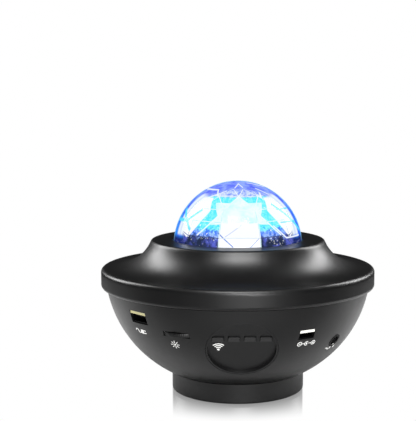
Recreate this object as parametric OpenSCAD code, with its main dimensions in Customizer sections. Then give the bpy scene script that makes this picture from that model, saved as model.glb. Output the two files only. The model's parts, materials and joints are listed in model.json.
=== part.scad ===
// Star night light projector: a saucer-shaped housing on a round foot, with sockets, a dial and buttons round
// the bowl, and a faceted prism dome that turns over the lamps inside a clear dome.
// The front is at -Y. Azimuths are counted from the front, positive towards +X.

/* [Foot] */
// Outside radius of the round foot
foot_r = 40.8; // [39.6:0.2:41.4]
// Height of the foot's top above the table
foot_top = 12.75; // [12:0.25:14]
// Thickness of the foot's wall
foot_wall = 2.6; // [2:0.2:3.2]
// Thickness of the flange inside the foot's top
foot_flange_t = 2; // [1.6:0.2:3]
// Radius of the foot's lower edge
foot_edge_r = 1.2; // [0.8:0.2:2]
// How far the rubber feet stand out below the foot
feet_out = 0.5; // [0.3:0.1:1.2]
// Radius of a rubber foot
feet_r = 5.5; // [5:0.25:6]
// Distance from the foot's wall in to each base screw and the rubber foot over it
base_screw_in = 7.2; // [7:0.1:7.4]
// Thickness of the base plate
base_plate_t = 2; // [1.6:0.2:2.6]
// Radius of each sound hole
sound_hole_r = 1.2; // [0.8:0.1:1.6]
// Distance between the rings of sound holes
sound_hole_pitch = 5; // [4.5:0.25:5.2]

/* [Housing] */
// Radius of the wide band, the widest place of the projector
band_r = 84; // [83:0.5:86]
// Height of the parting line under the band
parting_z = 65; // [64.5:0.25:66]
// Height of the band
band_h = 11.6; // [11:0.2:12.6]
// Radius of the band's lower edge
band_low_edge_r = 2; // [1:0.25:2.5]
// Radius of the band's upper edge
band_top_edge_r = 2.2; // [1:0.2:2.6]
// How far the bowl's rim lies inside the band
rim_step = 3.4; // [3:0.2:4]
// How far the bowl's curve stands out beyond the foot where they meet
bowl_foot_step = 0.9; // [0.7:0.02:1.1]
// Height of the centre of the bowl's curve above the parting line
bowl_curve_rise = 12; // [11.5:0.25:12.5]
// Wall thickness of the bowl
bowl_wall = 2.4; // [2.2:0.1:2.8]
// Thickness of the bowl's floor
floor_t = 2.5; // [2.2:0.1:3]
// Height of the shadow gap under the band
shadow_gap = 0.6; // [0.3:0.1:1]
// Width of the flat ledge between the band's side and the flare
ledge_w = 6.5; // [6:0.25:7]
// Radius of the hollow flare
flare_r = 26; // [25.5:0.25:26.5]
// Height of the deck above the band's top
deck_rise = 16.8; // [16.4:0.2:17.2]
// Radius of the deck's rounded edge
deck_edge_r = 1.76; // [1.2:0.08:2]
// Wall thickness of the upper cover
cover_wall = 2.2; // [2:0.1:2.6]

/* [Domes] */
// Width of the deck from the centre of its rounded edge to the clear dome
deck_w = 12.4; // [12:0.1:13]
// Wall thickness of the clear dome
dome_wall = 1.8; // [1.4:0.1:2]
// How far the centre of both domes lies below the deck
dome_sink = 3.8; // [3.4:0.1:4.2]
// Width of the clear dome's flange under the deck
dome_flange_w = 3.8; // [3:0.1:4]
// Thickness of the clear dome's flange and of its retainer ring
flange_t = 2; // [1.6:0.2:2.4]
// Gap between the corners of the prism dome and the clear dome
prism_gap = 1.5; // [1.2:0.1:2]
// Wall thickness of the prism dome
prism_wall = 1.8; // [1.4:0.1:2.2]
// Number of sides of the prism dome
prism_sides = 9; // [7:1:12]

/* [Drive] */
// Tooth size of the drive, as the gear module
gear_module = 1; // [1:0.05:1]
// Thickness of the turntable gear between its bore and the roots of its teeth
gear_rim = 2.8; // [2.4:0.1:3.2]
// Teeth of the motor pinion
pinion_teeth = 12; // [10:2:14]
// Play between the teeth
tooth_play = 0.2; // [0.15:0.05:0.3]
// Radial clearance of the turntable on its journal
journal_play = 0.05; // [0.03:0.01:0.08]
// Radius of the gear motor
motor_r = 12; // [11:0.5:13]
// Height of the gear motor
motor_h = 13; // [10:0.5:13.5]
// Radius of the motor's shaft
shaft_r = 1.5; // [1:0.1:2]
// Radius of the laser module
laser_r = 4.5; // [4:0.25:5]

/* [Sockets] */
// Azimuth of the data socket
usb_azimuth = -48.5; // [-50:0.5:-47]
// Height of the data socket's centre
usb_z = 55.3; // [55.3:0.1:56]
// Width of the cut-out for the data socket
usb_cut_w = 14; // [13.8:0.1:14.6]
// Height of the cut-out for the data socket
usb_cut_h = 7.3; // [6.6:0.1:7.6]
// Azimuth of the power socket
power_azimuth = 29.2; // [28:0.4:30.4]
// Height of the power socket's centre
power_z = 48.1; // [47.8:0.1:48.3]
// Width of the cut-out for the power socket
power_cut_w = 10.4; // [10.2:0.1:11]
// Height of the cut-out for the power socket
power_cut_h = 5.7; // [5.5:0.1:6]
// Azimuth of the headphone jack
jack_azimuth = 50.1; // [49:0.5:51.5]
// Height of the headphone jack's mouth on the bowl
jack_z = 39.7; // [39:0.1:40]
// Radius of the headphone jack's bore
jack_bore_r = 1.8; // [1.75:0.05:1.9]
// Depth of the headphone jack's bore
jack_bore_l = 14; // [13:0.5:14.5]
// Radius of the round hole in front of the jack
jack_hole_r = 3.1; // [2.8:0.1:3.4]

/* [Brightness wheel] */
// Azimuth of the brightness wheel
wheel_azimuth = -29.1; // [-30:0.3:-28.5]
// Height of the slot's centre
wheel_z = 48.4; // [48.2:0.1:48.6]
// Radius of the brightness wheel
wheel_r = 13; // [12:0.25:13.25]
// Thickness of the brightness wheel
wheel_t = 2; // [1.6:0.1:2.2]
// How far the wheel stands out of the bowl
wheel_out = 1.5; // [1:0.1:1.8]
// Width of the wheel's slot
slot_w = 16.7; // [16:0.1:17.5]
// Height of the wheel's slot
slot_h = 3; // [2.8:0.1:3.2]
// Grip notches round the wheel
wheel_notches = 36; // [24:4:48]

/* [Button panel] */
// Height of the panel's centre on the bowl
panel_z = 39.1; // [38.8:0.1:39.4]
// Radius of the panel
panel_r = 20.2; // [20:0.1:20.4]
// How far the panel's flat face lies below its rim
panel_sink = 1.7; // [1.4:0.1:2]
// Thickness of the panel's rim
panel_rim_w = 0.8; // [0.6:0.1:1]
// Thickness of the panel behind its face
panel_t = 2; // [1.8:0.1:2.4]
// Gap between the panel's rim and the bowl at the sides
panel_gap = 0.25; // [0.2:0.05:0.3]
// Number of buttons
button_count = 4; // [2:1:4]
// Distance from button to button
button_pitch = 8.95; // [8.8:0.05:9.05]
// Width of a button
button_w = 6.3; // [5.8:0.1:6.6]
// Height of a button up the panel
button_h = 3.3; // [3:0.1:3.6]
// Distance of the buttons above the panel's centre
button_up = 6.2; // [5.8:0.1:6.5]
// How far a button stands out of the panel
button_out = 0.7; // [0.6:0.05:0.9]
// Radius of a button's corners
button_corner_r = 0.8; // [0.4:0.1:1.2]
// How far a button travels
button_travel = 0.5; // [0.3:0.05:0.6]

/* [Electronics] */
// Gap between the main circuit board and the bowl's wall
board_gap = 3.78; // [3.4:0.02:4.2]
// Thickness of each circuit board
board_t = 1.6; // [1.2:0.1:1.8]
// Height of the main board's top
board_top = 51.7; // [51.6:0.05:51.8]
// Distance from the foot's wall in to each case screw
case_screw_in = 4.2; // [4:0.1:4.4]

/* [Speaker] */
// Width of the speaker frame's flange outside the sound opening
speaker_flange_w = 7.7; // [7.5:0.1:8]
// Gap between the speaker's frame and the bosses of the base screws
speaker_gap = 0.4; // [0.2:0.05:0.6]
// Radius of the speaker's magnet
magnet_r = 15.5; // [14:0.25:16]
// Height of the speaker's magnet
magnet_h = 7; // [5:0.5:8]

/* [Hidden] */
$fn = 96;

over = 1;             // how far a cutting tool runs past what it cuts
fit = 0.05;           // clearance between a screw and its pilot hole
hole_play = 0.15;     // clearance between a screw and a hole that it passes
rim_play = 0.2;       // clearance round a fixed piece in its seat
slide_gap = 0.3;      // gap under and round moving pieces
press_play = 0.01;    // clearance of a gear on its shaft
m3_r = 1.5;           // shank radii of the screws
m25_r = 1.25;
m2_r = 1;
head_ratio = 1.85;    // a screw head's radius over its shank's
head_h = 1.6;         // height of a screw head
head_play = 0.4;      // clearance round a screw head in its well
m3_well_r = m3_r * head_ratio + head_play;

// Foot and base, from the table up
foot_bottom = feet_out;
foot_in_r = foot_r - foot_wall;
flange_bottom = foot_top - foot_flange_t;
base_top = foot_bottom + base_plate_t;
foot_recess = 0.8;
base_head_z = foot_bottom + foot_recess + 3;
standoff_r = 4.6;
foot_top_chamfer = 0.7;
base_screw_ring = foot_in_r - base_screw_in;
case_screw_ring = foot_in_r - case_screw_in;
neck_h = 0.6;
neck_r = foot_r - 0.8;

// Bowl: an arc in profile from the foot to the rim, round a centre that lies beside the axis
rim_r = band_r - rim_step;
bowl_low_r = foot_r + bowl_foot_step;
bowl_cz = parting_z + bowl_curve_rise;
bowl_fall = pow(bowl_cz - foot_top, 2) - pow(bowl_curve_rise, 2);
bowl_cx = (rim_r + bowl_low_r - bowl_fall / (rim_r - bowl_low_r)) / 2;
bowl_curve_r = sqrt(pow(rim_r - bowl_cx, 2) + pow(bowl_curve_rise, 2));
function bowl_radius(z, inset = 0) = bowl_cx + sqrt(pow(bowl_curve_r - inset, 2) - pow(bowl_cz - z, 2));
function bowl_tilt(z) = asin((bowl_cz - z) / bowl_curve_r);
floor_top = foot_top + floor_t;
tongue_r = rim_r - 2.6;
tongue_w = 1.5;
tongue_h = 2.6;
seat_r = tongue_r + 1.4;
seat_h = 1.6;
floor_boss_r = 3.4;
floor_boss_h = 6;

// Upper cover
band_top = parting_z + band_h;
flare_cx = band_r - ledge_w;
flare_cz = band_top + flare_r;
deck_z = band_top + deck_rise;
deck_bottom = deck_z - cover_wall;
deck_edge_z = deck_z - deck_edge_r;
deck_edge_x = flare_cx - sqrt(pow(flare_r + deck_edge_r, 2) - pow(flare_cz - deck_edge_z, 2));
cover_lip = parting_z + 2;
deck_corner = 6;
deck_skin = 1;
boss_inset = 0.7;

// Domes
dome_z = deck_z - dome_sink;
dome_r = deck_edge_x - deck_w;
dome_in_r = dome_r - dome_wall;
dome_flange_r = dome_r + dome_flange_w;
dome_play = 0.15;
dome_flange_bottom = deck_bottom - flange_t;
dome_flange_in_r = dome_in_r + 0.6;
retainer_bottom = dome_flange_bottom - flange_t;
retainer_in_r = dome_in_r + 0.2;
retainer_boss_r = 2.8;
retainer_ring = dome_flange_r + retainer_boss_r + slide_gap;
retainer_r = retainer_ring + retainer_boss_r;
retainer_screw_l = 2 * flange_t + 0.8;

// Boards
board_bottom = board_top - board_t;
board_r = bowl_radius(board_bottom, bowl_wall) - board_gap;
post_r = 4.6;
case_head_z = board_bottom - 10;
case_shank = 20;
chips = [[[-40, 2], [12, 12, 1.4]], [[-8, -30], [16, 8, 1.8]], [[34, -12], [8, 10, 1.6]]];
cans = [[[44, 14], 4, 10], [[-46, 24], 4, 10], [[-52, 14], 3, 8]];

// Light engine
plate_bottom = parting_z + 1;
plate_t = 2.5;
plate_top = plate_bottom + plate_t;
leg_r = 3.6;
cover_boss_r = 4;
cover_boss_in = 21.5;
cover_boss_ring = flare_cx - cover_boss_in;
plate_r = cover_boss_ring + cover_boss_r;
cover_screw_l = 11;
prism_r = dome_in_r - prism_gap;
turntable_drop = 9.1;
turntable_top = dome_z - turntable_drop;
turntable_t = 1.5;
gear_top = turntable_top - turntable_t;
gear_t = 5;
gear_bottom = gear_top - gear_t;
turntable_r = prism_r - slide_gap;
clip_out = 1.1;
upstand_w = 1.9;
prism_seat_play = 0.07;
prism_foot_in = sqrt(pow(prism_r - prism_wall, 2) - pow(turntable_drop, 2)) * cos(180 / prism_sides);
journal_r = prism_foot_in - prism_seat_play - upstand_w - rim_play - clip_out;
journal_wall = 2.5;
journal_top = turntable_top + 3.5;
collar_r = journal_r + 2.5;
clip_groove = 1;
clip_z = turntable_top + 0.25;
clip_t = 0.9;
clip_r = journal_r + clip_out;
upstand_r = clip_r + rim_play;
upstand_h = 2.5;
tooth_above = 0.95 * gear_module;
tooth_below = 1.2 * gear_module;
turntable_teeth = round(2 * (journal_r + gear_rim + tooth_below) / gear_module);
gear_pitch_r = gear_module * turntable_teeth / 2;
pinion_pitch_r = gear_module * pinion_teeth / 2;
motor_direction = 90;
motor_ring = gear_pitch_r + pinion_pitch_r + tooth_play;
pinion_hub_h = 4;
pinion_hub_r = pinion_pitch_r / 2;
pinion_room = 0.5;
motor_boss_r = 4.9;
motor_boss_h = 1;
motor_screw_gap = 8.5;
motor_screw_bite = 3.5;
sink_r = journal_r - journal_wall - 1.5;
sink_top = plate_top + 8.5;
sink_skin = 1;
fin_count = 16;
fin_slot_w = 2;
fin_root_r = sink_r * 0.66;
lamp_board_top = sink_top + board_t;
lens_r = 4;
lens_ring = (sink_r + laser_r) / 2;
lens_rim_w = 0.4;
lens_rim_h = 0.8;
laser_bottom = plate_bottom - 6;
laser_top = lamp_board_top + 2.4;
grating_r = laser_r + 1;
grating_t = 1.4;
lead_x = sink_r - 5;
lead_hole_r = 1.5;
lead_r = 0.8;

// Sockets, in the frame of each azimuth, where -Y is outwards
socket_play = 0.3;
usb_in = [12.5, 5.2];
usb_out = [usb_cut_w - 2 * socket_play, 6.1];
usb_mouth = bowl_radius(usb_z - usb_cut_h / 2) - 0.6;
usb_l = 16;
usb_cut_depth = 12;
usb_foot_in = 1;
board_edge = 0.5;
usb_depth = 14;
usb_tongue_size = [11, 13.3, 1.9];
power_out = [power_cut_w - 2 * socket_play, power_cut_h - 2 * socket_play];
power_wall = 0.4;
power_mouth = bowl_radius(power_z - power_cut_h / 2) - 0.6;
power_l = 11;
power_cut_depth = 10;
lug_out = 2.5;
lug_l = 5;
lug_back = 0.6;
lug_t = 1.6;
power_depth = 9.5;
power_tongue_size = [7.6, 8.9, 1.5];
tongue_drop = 0.5;
jack_face = -1.3;
jack_size = [12, 7.4, jack_bore_l + 1.5];
jack_pocket = 5;
jack_notch = 17;
jack_notch_play = 0.6;

// Brightness wheel, flat under the main board
wheel_ring = bowl_radius(wheel_z) + wheel_out - wheel_r;
wheel_bottom = wheel_z - wheel_t / 2;
wheel_top = wheel_z + wheel_t / 2;
wheel_room = 0.6;
slot_depth = 8;
dial_play = 0.2;
wheel_shaft_r = 3;
wheel_shaft_out = 0.2;
notch_r = 0.55;
dial_r = 6;
dial_screw_r = 4;
dial_screw_t = 0.8;

// Button panel and what lies behind it, in the panel's own frame, where +Z is outwards and +Y is up the bowl
panel_low = -9;
panel_high = 6;
panel_hole_drop = 0.15;
panel_rim_less = 0.1;
skin_step = 0.2;
boss_cap = 1;
panel_flange_in_r = panel_r - 1;
panel_flange_r = panel_r + 1.5;
panel_in = bowl_wall + 1.4;
panel_flange_out = bowl_wall + 0.1;
panel_top_z = parting_z - 2.4;
panel_edge_fall = bowl_curve_r - sqrt(pow(bowl_curve_r, 2) - pow(panel_r, 2));
panel_face = -panel_edge_fall - panel_rim_less - panel_sink;
panel_back = panel_face - panel_t;
skin_low = foot_top + 1;
button_half = (button_count - 1) / 2;
button_gap = 0.3;
button_gap_top = 0.55;
button_gap_low = 0.12;
button_flange = [8, 5.4, 1];
button_flange_top = panel_back - slide_gap;
stem_size = [4, 3, 0.8];
stem_bottom = button_flange_top - button_flange[2] - stem_size[2];
switch_side = 6;
switch_h = 3.5;
plunger_r = 1.5;
plunger_h = 0.6;
press_room = 0.1;
button_board_z = stem_bottom - button_travel - press_room - plunger_h - switch_h;
button_board_size = [35, 25];
button_board_low = -8;
button_cut_l = panel_t + 2 * over;
board_screw_bite = 4;
ir_body = [5.6, 6.4, 3];
ir_lens_r = 1.9;
ir_lens_h = 2.2;
ir_place = [-6, -2];
microphone_r = 3;
microphone_h = 4;
microphone_place = [6, -2];
panel_bosses = [[15.2, -5], [-15.2, -5], [0, 15]];
panel_boss_r = 1.9;
front_cut = [40, bowl_radius(panel_z) - 13.5];

// Speaker, facing down through the floor
speaker_r = base_screw_ring - floor_boss_r - speaker_gap;
speaker_hole_r = speaker_r - speaker_flange_w;
gasket_t = 0.5;
frame_bottom = floor_top + gasket_t;
frame_t = 1;
frame_top = frame_bottom + frame_t;
frame_in_r = speaker_hole_r + 1.2;
frame_flange_w = 2.6;
basket_wall = 1.2;
basket_r = magnet_r + 1.3;
window = [12, 12, 6];
window_z = frame_top + 2;
speaker_pilot = 0.8 * floor_t;
basket_top = frame_top + 10.25;
basket_top_t = 1.2;
coil_in_r = 7.3;
coil_out_r = 8.3;
coil_gap = 0.3;
pole_r = coil_in_r - 0.4;
magnet_bottom = basket_top + basket_top_t;
magnet_top = magnet_bottom + magnet_h;
yoke_t = 2.2;
surround_t = 0.4;
surround_top = frame_top + surround_t;
surround_in = 0.4;
surround_out = 1;
roll_r = 1.6;
roll_x = frame_in_r - roll_r - 0.3;
cone_r = roll_x - 1.4;
cone_t = 0.6;
coil_bottom = frame_top + 5.85;
coil_top = frame_top + 14.25;
cap_sphere_r = 11;
cap_t = 0.5;
speaker_screw_ring = speaker_r - 1.9;

// A bar of a profile, from r0 to r1 and z0 to z1
module bar(r0, r1, z0, z1) {
    translate([r0, z0]) square([r1 - r0, z1 - z0]);
}

// A ring or disc round the axis
module ring(r0, r1, z0, z1) {
    rotate_extrude() bar(r0, r1, z0, z1);
}

// A disc at the local origin
module peg(r, z0, z1) {
    translate([0, 0, z0]) cylinder(r = r, h = z1 - z0);
}

// Copies on a ring of four
module four(radius, phase = 0) {
    for (i = [0:3]) rotate([0, 0, phase + 90 * i]) translate([radius, 0, 0]) children();
}

// A local frame on the bowl's outside: +Z outwards, +Y up the bowl
module on_bowl(azimuth, z) {
    rotate([0, 0, azimuth]) translate([0, -bowl_radius(z), z]) rotate([90 + bowl_tilt(z), 0, 0]) children();
}

// A block centred on x = 0, from radius r0 out to r1 in front of the axis
module radial_block(width, r0, r1, z0, z1) {
    translate([-width / 2, -r1, z0]) cube([width, r1 - r0, z1 - z0]);
}

// A cross-head screw whose head stands on z = 0 and whose shank points down
module screw(shank_r, shank_l) {
    head_r = shank_r * head_ratio;
    recess_w = shank_r * 0.5;
    recess_l = head_r * 1.2;
    recess_z = head_h * 0.45;
    difference() {
        union() {
            cylinder(r = head_r, h = head_h);
            translate([0, 0, -shank_l]) cylinder(r = shank_r, h = shank_l + head_h / 2);
        }
        for (turn = [0, 90]) rotate([0, 0, turn])
            translate([-recess_l / 2, -recess_w / 2, recess_z]) cube([recess_l, recess_w, head_h]);
    }
}

module screw_up(shank_r, shank_l) {
    rotate([180, 0, 0]) screw(shank_r, shank_l);
}

// A gear's outline, with straight-sided teeth and a tooth on +X
module gear_outline(teeth) {
    pitch_r = gear_module * teeth / 2;
    flank = 20;
    tip_r = pitch_r + tooth_above;
    root_r = pitch_r - tooth_below;
    pitch_w = PI * gear_module / 2 - tooth_play;
    tip_w = pitch_w - 2 * tooth_above * tan(flank);
    root_w = pitch_w + 2 * tooth_below * tan(flank);
    tip_a = tip_w / tip_r * 90 / PI;
    root_a = root_w / root_r * 90 / PI;
    polygon([for (i = [0:teeth - 1]) let (a = 360 * i / teeth)
        each [for (p = [[-root_a, root_r], [-tip_a, tip_r], [tip_a, tip_r], [root_a, root_r]])
            [p[1] * cos(a + p[0]), p[1] * sin(a + p[0])]]]);
}

// The bowl's profile between two heights, made smaller by inset
module bowl_body(inset, z0, z1) {
    intersection() {
        union() {
            translate([bowl_cx, bowl_cz]) circle(r = bowl_curve_r - inset, $fn = 240);
            bar(0, bowl_cx, z0, z1);
        }
        bar(0, band_r, z0, z1);
    }
}

// A curved skin that follows the bowl between two insets
module bowl_skin(inset, inner) {
    rotate_extrude($fn = 240) intersection() {
        difference() {
            translate([bowl_cx, bowl_cz]) circle(r = bowl_curve_r - inset, $fn = 240);
            translate([bowl_cx, bowl_cz]) circle(r = bowl_curve_r - inner, $fn = 240);
        }
        bar(0, band_r, skin_low, panel_top_z);
    }
}

// The bowl, with its floor, posts, rim and cut-outs
module lower_shell() {
    color([0.13, 0.13, 0.13]) difference() {
        union() {
            rotate_extrude($fn = 240) difference() {
                union() {
                    difference() {
                        bowl_body(0, foot_top, parting_z - shadow_gap);
                        bowl_body(bowl_wall, floor_top, band_top);
                        bar(0, speaker_hole_r, foot_top - over, floor_top + over);
                    }
                    bar(tongue_r - tongue_w, seat_r, parting_z - seat_h, parting_z);
                    bar(tongue_r - tongue_w, tongue_r, parting_z - seat_h, parting_z + tongue_h);
                }
                bar(neck_r, band_r, foot_top - over, foot_top + neck_h);
            }
            four(case_screw_ring, 45) peg(post_r, floor_top - over, board_bottom);
            four(base_screw_ring) peg(floor_boss_r, floor_top - over, floor_top + floor_boss_h);
        }
        four(case_screw_ring, 45) {
            peg(m3_well_r, foot_top - over, case_head_z);
            peg(m3_r + hole_play, case_head_z - over, board_bottom + over);
        }
        four(base_screw_ring) peg(m3_r + fit, foot_top - over, floor_top + floor_boss_h - over);
        four(speaker_screw_ring, 45) peg(m2_r + fit, floor_top - speaker_pilot, floor_top + over);
        rotate([0, 0, usb_azimuth]) radial_block(usb_cut_w, bowl_radius(usb_z) - usb_cut_depth, band_r,
            usb_z - usb_cut_h / 2, usb_z + usb_cut_h / 2);
        rotate([0, 0, power_azimuth]) radial_block(power_cut_w, bowl_radius(power_z) - power_cut_depth,
            band_r, power_z - power_cut_h / 2, power_z + power_cut_h / 2);
        rotate([0, 0, wheel_azimuth]) {
            radial_block(slot_w, bowl_radius(wheel_z) - slot_depth, band_r, wheel_z - slot_h / 2,
                wheel_z + slot_h / 2);
            translate([0, -wheel_ring, 0])
                peg(wheel_r + wheel_room, wheel_z - slot_h / 2, wheel_z + slot_h / 2);
        }
        on_bowl(jack_azimuth, jack_z) {
            pocket = [jack_size[0] + 2 * socket_play, jack_size[1] + 2 * socket_play, jack_pocket];
            peg(jack_hole_r, jack_face - over, 2 * over);
            translate([-pocket[0] / 2, -pocket[1] / 2, jack_face - jack_pocket]) cube(pocket);
        }
        on_bowl(0, panel_z) translate([0, -panel_hole_drop, 0])
            peg(panel_r + panel_gap, panel_low, panel_high);
    }
}

// The outside of the upper cover, made smaller by inset
module cover_outline(inset) {
    low_r = band_low_edge_r;
    top_r = band_top_edge_r;
    edge = band_r - inset;
    arc_r = flare_r + inset;
    lean = [flare_cx - deck_edge_x, flare_cz - deck_edge_z] / (flare_r + deck_edge_r);
    difference() {
        union() {
            bar(0, edge - low_r, parting_z, band_top - inset);
            bar(0, edge, parting_z + low_r, band_top - inset - top_r);
            bar(0, edge - top_r, parting_z + low_r, band_top - inset);
            translate([edge - low_r, parting_z + low_r]) circle(r = low_r);
            translate([edge - top_r, band_top - inset - top_r]) circle(r = top_r);
            difference() {
                bar(0, flare_cx, parting_z + over, deck_z - inset);
                translate([flare_cx, flare_cz]) circle(r = arc_r, $fn = 240);
            }
        }
        translate([deck_edge_x, deck_edge_z]) difference() {
            polygon([[0, 0], [0, 1], [1, 1], [lean[0] / lean[1], 1], lean] * deck_corner);
            circle(r = deck_edge_r - inset);
        }
    }
}

// The band, the flare and the deck, moulded in one
module upper_cover() {
    color([0.15, 0.15, 0.15]) difference() {
        union() {
            rotate_extrude($fn = 240) difference() {
                cover_outline(0);
                bar(0, band_r - cover_wall, cover_lip, band_top - cover_wall);
                bar(0, tongue_r + rim_play, parting_z - over, cover_lip + over);
                difference() {
                    bar(0, flare_cx, cover_lip, deck_bottom);
                    translate([flare_cx, flare_cz]) circle(r = flare_r + cover_wall, $fn = 240);
                }
                bar(0, dome_r + dome_play, parting_z - over, deck_z + over);
            }
            intersection() {
                rotate_extrude() cover_outline(boss_inset);
                union() {
                    four(cover_boss_ring, 45) peg(cover_boss_r, plate_top, deck_z);
                    four(retainer_ring) peg(retainer_boss_r, dome_flange_bottom, deck_z);
                }
            }
        }
        four(cover_boss_ring, 45) peg(m25_r + fit, plate_top - over, plate_top + cover_screw_l);
        four(retainer_ring) peg(m2_r + fit, dome_flange_bottom - over, deck_z - deck_skin);
    }
}

module foot_ring() {
    color([0.12, 0.12, 0.12]) difference() {
        rotate_extrude($fn = 240) difference() {
            union() {
                bar(foot_in_r, foot_r, foot_bottom, foot_top);
                bar(base_screw_ring - standoff_r, foot_r, flange_bottom, foot_top);
            }
            translate([foot_r, foot_top]) rotate(45) square(foot_top_chamfer, center = true);
            translate([foot_r - foot_edge_r, foot_bottom + foot_edge_r]) difference() {
                bar(0, foot_edge_r + over, -foot_edge_r - over, 0);
                circle(r = foot_edge_r);
            }
        }
        four(base_screw_ring) peg(m3_r + hole_play, flange_bottom - over, foot_top + over);
    }
}

module base_plate() {
    color([0.1, 0.1, 0.1]) difference() {
        union() {
            ring(0, foot_in_r - rim_play, foot_bottom, base_top);
            four(base_screw_ring) peg(standoff_r, base_top - over, flange_bottom);
        }
        four(base_screw_ring) {
            peg(feet_r + rim_play, foot_bottom - over, foot_bottom + foot_recess);
            peg(m3_well_r, foot_bottom - over, base_head_z);
            peg(m3_r + hole_play, base_head_z - over, flange_bottom + over);
        }
        for (row = [0:4]) for (i = [0:max(0, 6 * row - 1)])
            rotate([0, 0, 60 * i / max(1, row)]) translate([sound_hole_pitch * row, 0, 0])
                peg(sound_hole_r, foot_bottom - over, base_top + over);
    }
}

module rubber_feet() {
    color([0.2, 0.2, 0.2]) four(base_screw_ring) peg(feet_r, 0, foot_bottom + foot_recess);
}

module base_screws() {
    shank = floor_top + floor_boss_h - 1.5 * over - base_head_z;
    color([0.7, 0.7, 0.72]) four(base_screw_ring) translate([0, 0, base_head_z]) screw_up(m3_r, shank);
}

module case_screws() {
    color([0.7, 0.7, 0.72]) four(case_screw_ring, 45) translate([0, 0, case_head_z])
        screw_up(m3_r, case_shank);
}

module clear_dome() {
    color([0.8, 0.9, 1, 0.3]) rotate_extrude($fn = 240) union() {
        intersection() {
            difference() {
                translate([0, dome_z]) circle(r = dome_r, $fn = 240);
                translate([0, dome_z]) circle(r = dome_in_r, $fn = 240);
            }
            bar(0, dome_r + over, dome_flange_bottom, dome_z + dome_r + over);
        }
        bar(dome_flange_in_r, dome_flange_r, dome_flange_bottom, deck_bottom);
    }
}

module dome_retainer() {
    color([0.12, 0.12, 0.12]) difference() {
        ring(retainer_in_r, retainer_r, retainer_bottom, dome_flange_bottom);
        four(retainer_ring) peg(m2_r + hole_play, retainer_bottom - over, dome_flange_bottom + over);
    }
}

module retainer_screws() {
    color([0.7, 0.7, 0.72]) four(retainer_ring) translate([0, 0, retainer_bottom])
        screw_up(m2_r, retainer_screw_l);
}

// The frame of the light engine: a plate on four legs, with the journal tube for the turntable
module light_chassis() {
    color([0.85, 0.85, 0.85]) difference() {
        union() {
            ring(0, plate_r, plate_bottom, plate_top);
            ring(journal_r - journal_wall, journal_r, plate_top - over, journal_top);
            ring(journal_r - over, collar_r, plate_top - over, gear_bottom - slide_gap);
            four(case_screw_ring, 45) peg(leg_r, board_top, plate_bottom + over);
        }
        ring(journal_r - clip_groove, journal_r + over, clip_z - fit, clip_z + clip_t + fit);
        peg(laser_r + fit, plate_bottom - over, plate_top + over);
        translate([lead_x, 0, 0]) peg(lead_hole_r, plate_bottom - over, plate_top + over);
        four(case_screw_ring, 45) peg(m3_r + fit, board_top - over, case_head_z + case_shank + 1);
        four(cover_boss_ring, 45) peg(m25_r + hole_play, plate_bottom - over, plate_top + over);
        rotate([0, 0, motor_direction]) translate([motor_ring, 0, 0]) {
            peg(motor_boss_r + rim_play, plate_bottom - over, plate_top + over);
            for (side = [-1, 1]) translate([0, side * motor_screw_gap, 0])
                peg(m2_r + hole_play, plate_bottom - over, plate_top + over);
        }
        // clearance for the pinion beside the journal's collar
        rotate([0, 0, motor_direction]) translate([motor_ring, 0, 0])
            peg(pinion_pitch_r + gear_module + pinion_room, plate_top + pinion_room, gear_top);
    }
}

module chassis_screws() {
    color([0.7, 0.7, 0.72]) four(cover_boss_ring, 45) translate([0, 0, plate_bottom])
        screw_up(m25_r, plate_t + cover_screw_l - 1.5 * over);
}

module heat_sink() {
    color([0.75, 0.76, 0.78]) difference() {
        ring(laser_r + fit, sink_r, plate_top, sink_top);
        for (i = [0:fin_count - 1]) rotate([0, 0, 360 * (i + 0.5) / fin_count])
            translate([fin_root_r, -fin_slot_w / 2, plate_top - over])
                cube([sink_r, fin_slot_w, sink_top - plate_top + over - 2 * sink_skin]);
        translate([lead_x, 0, 0]) peg(lead_hole_r, plate_top - over, sink_top + over);
    }
}

module led_board() {
    color([0.95, 0.95, 0.93]) ring(laser_r + fit, sink_r, sink_top, lamp_board_top);
}

module led_lenses() {
    color([1, 1, 0.9]) four(lens_ring, 45) intersection() {
        union() {
            peg(lens_r + lens_rim_w, lamp_board_top, lamp_board_top + lens_rim_h);
            translate([0, 0, lamp_board_top + lens_rim_h]) sphere(r = lens_r);
        }
        peg(lens_r + over, lamp_board_top, lamp_board_top + 2 * lens_r);
    }
}

module laser_module() {
    color([0.8, 0.65, 0.3]) peg(laser_r, laser_bottom, laser_top);
}

module grating_lens() {
    color([0.7, 0.9, 1]) ring(0, grating_r, laser_top, laser_top + grating_t);
}

module turntable_gear() {
    color([0.95, 0.95, 0.95]) difference() {
        union() {
            translate([0, 0, gear_bottom]) linear_extrude(gear_t)
                rotate(motor_direction) gear_outline(turntable_teeth);
            peg(turntable_r, gear_top, turntable_top);
            ring(upstand_r, upstand_r + upstand_w, turntable_top - over, turntable_top + upstand_h);
        }
        peg(journal_r + journal_play, gear_bottom - over, turntable_top + over);
    }
}

// Snap ring that keeps the turntable on its journal
module turntable_clip() {
    color([0.6, 0.6, 0.62]) rotate([0, 0, 15])
        rotate_extrude(angle = 330) bar(journal_r - clip_groove + fit, clip_r, clip_z, clip_z + clip_t);
}

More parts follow.
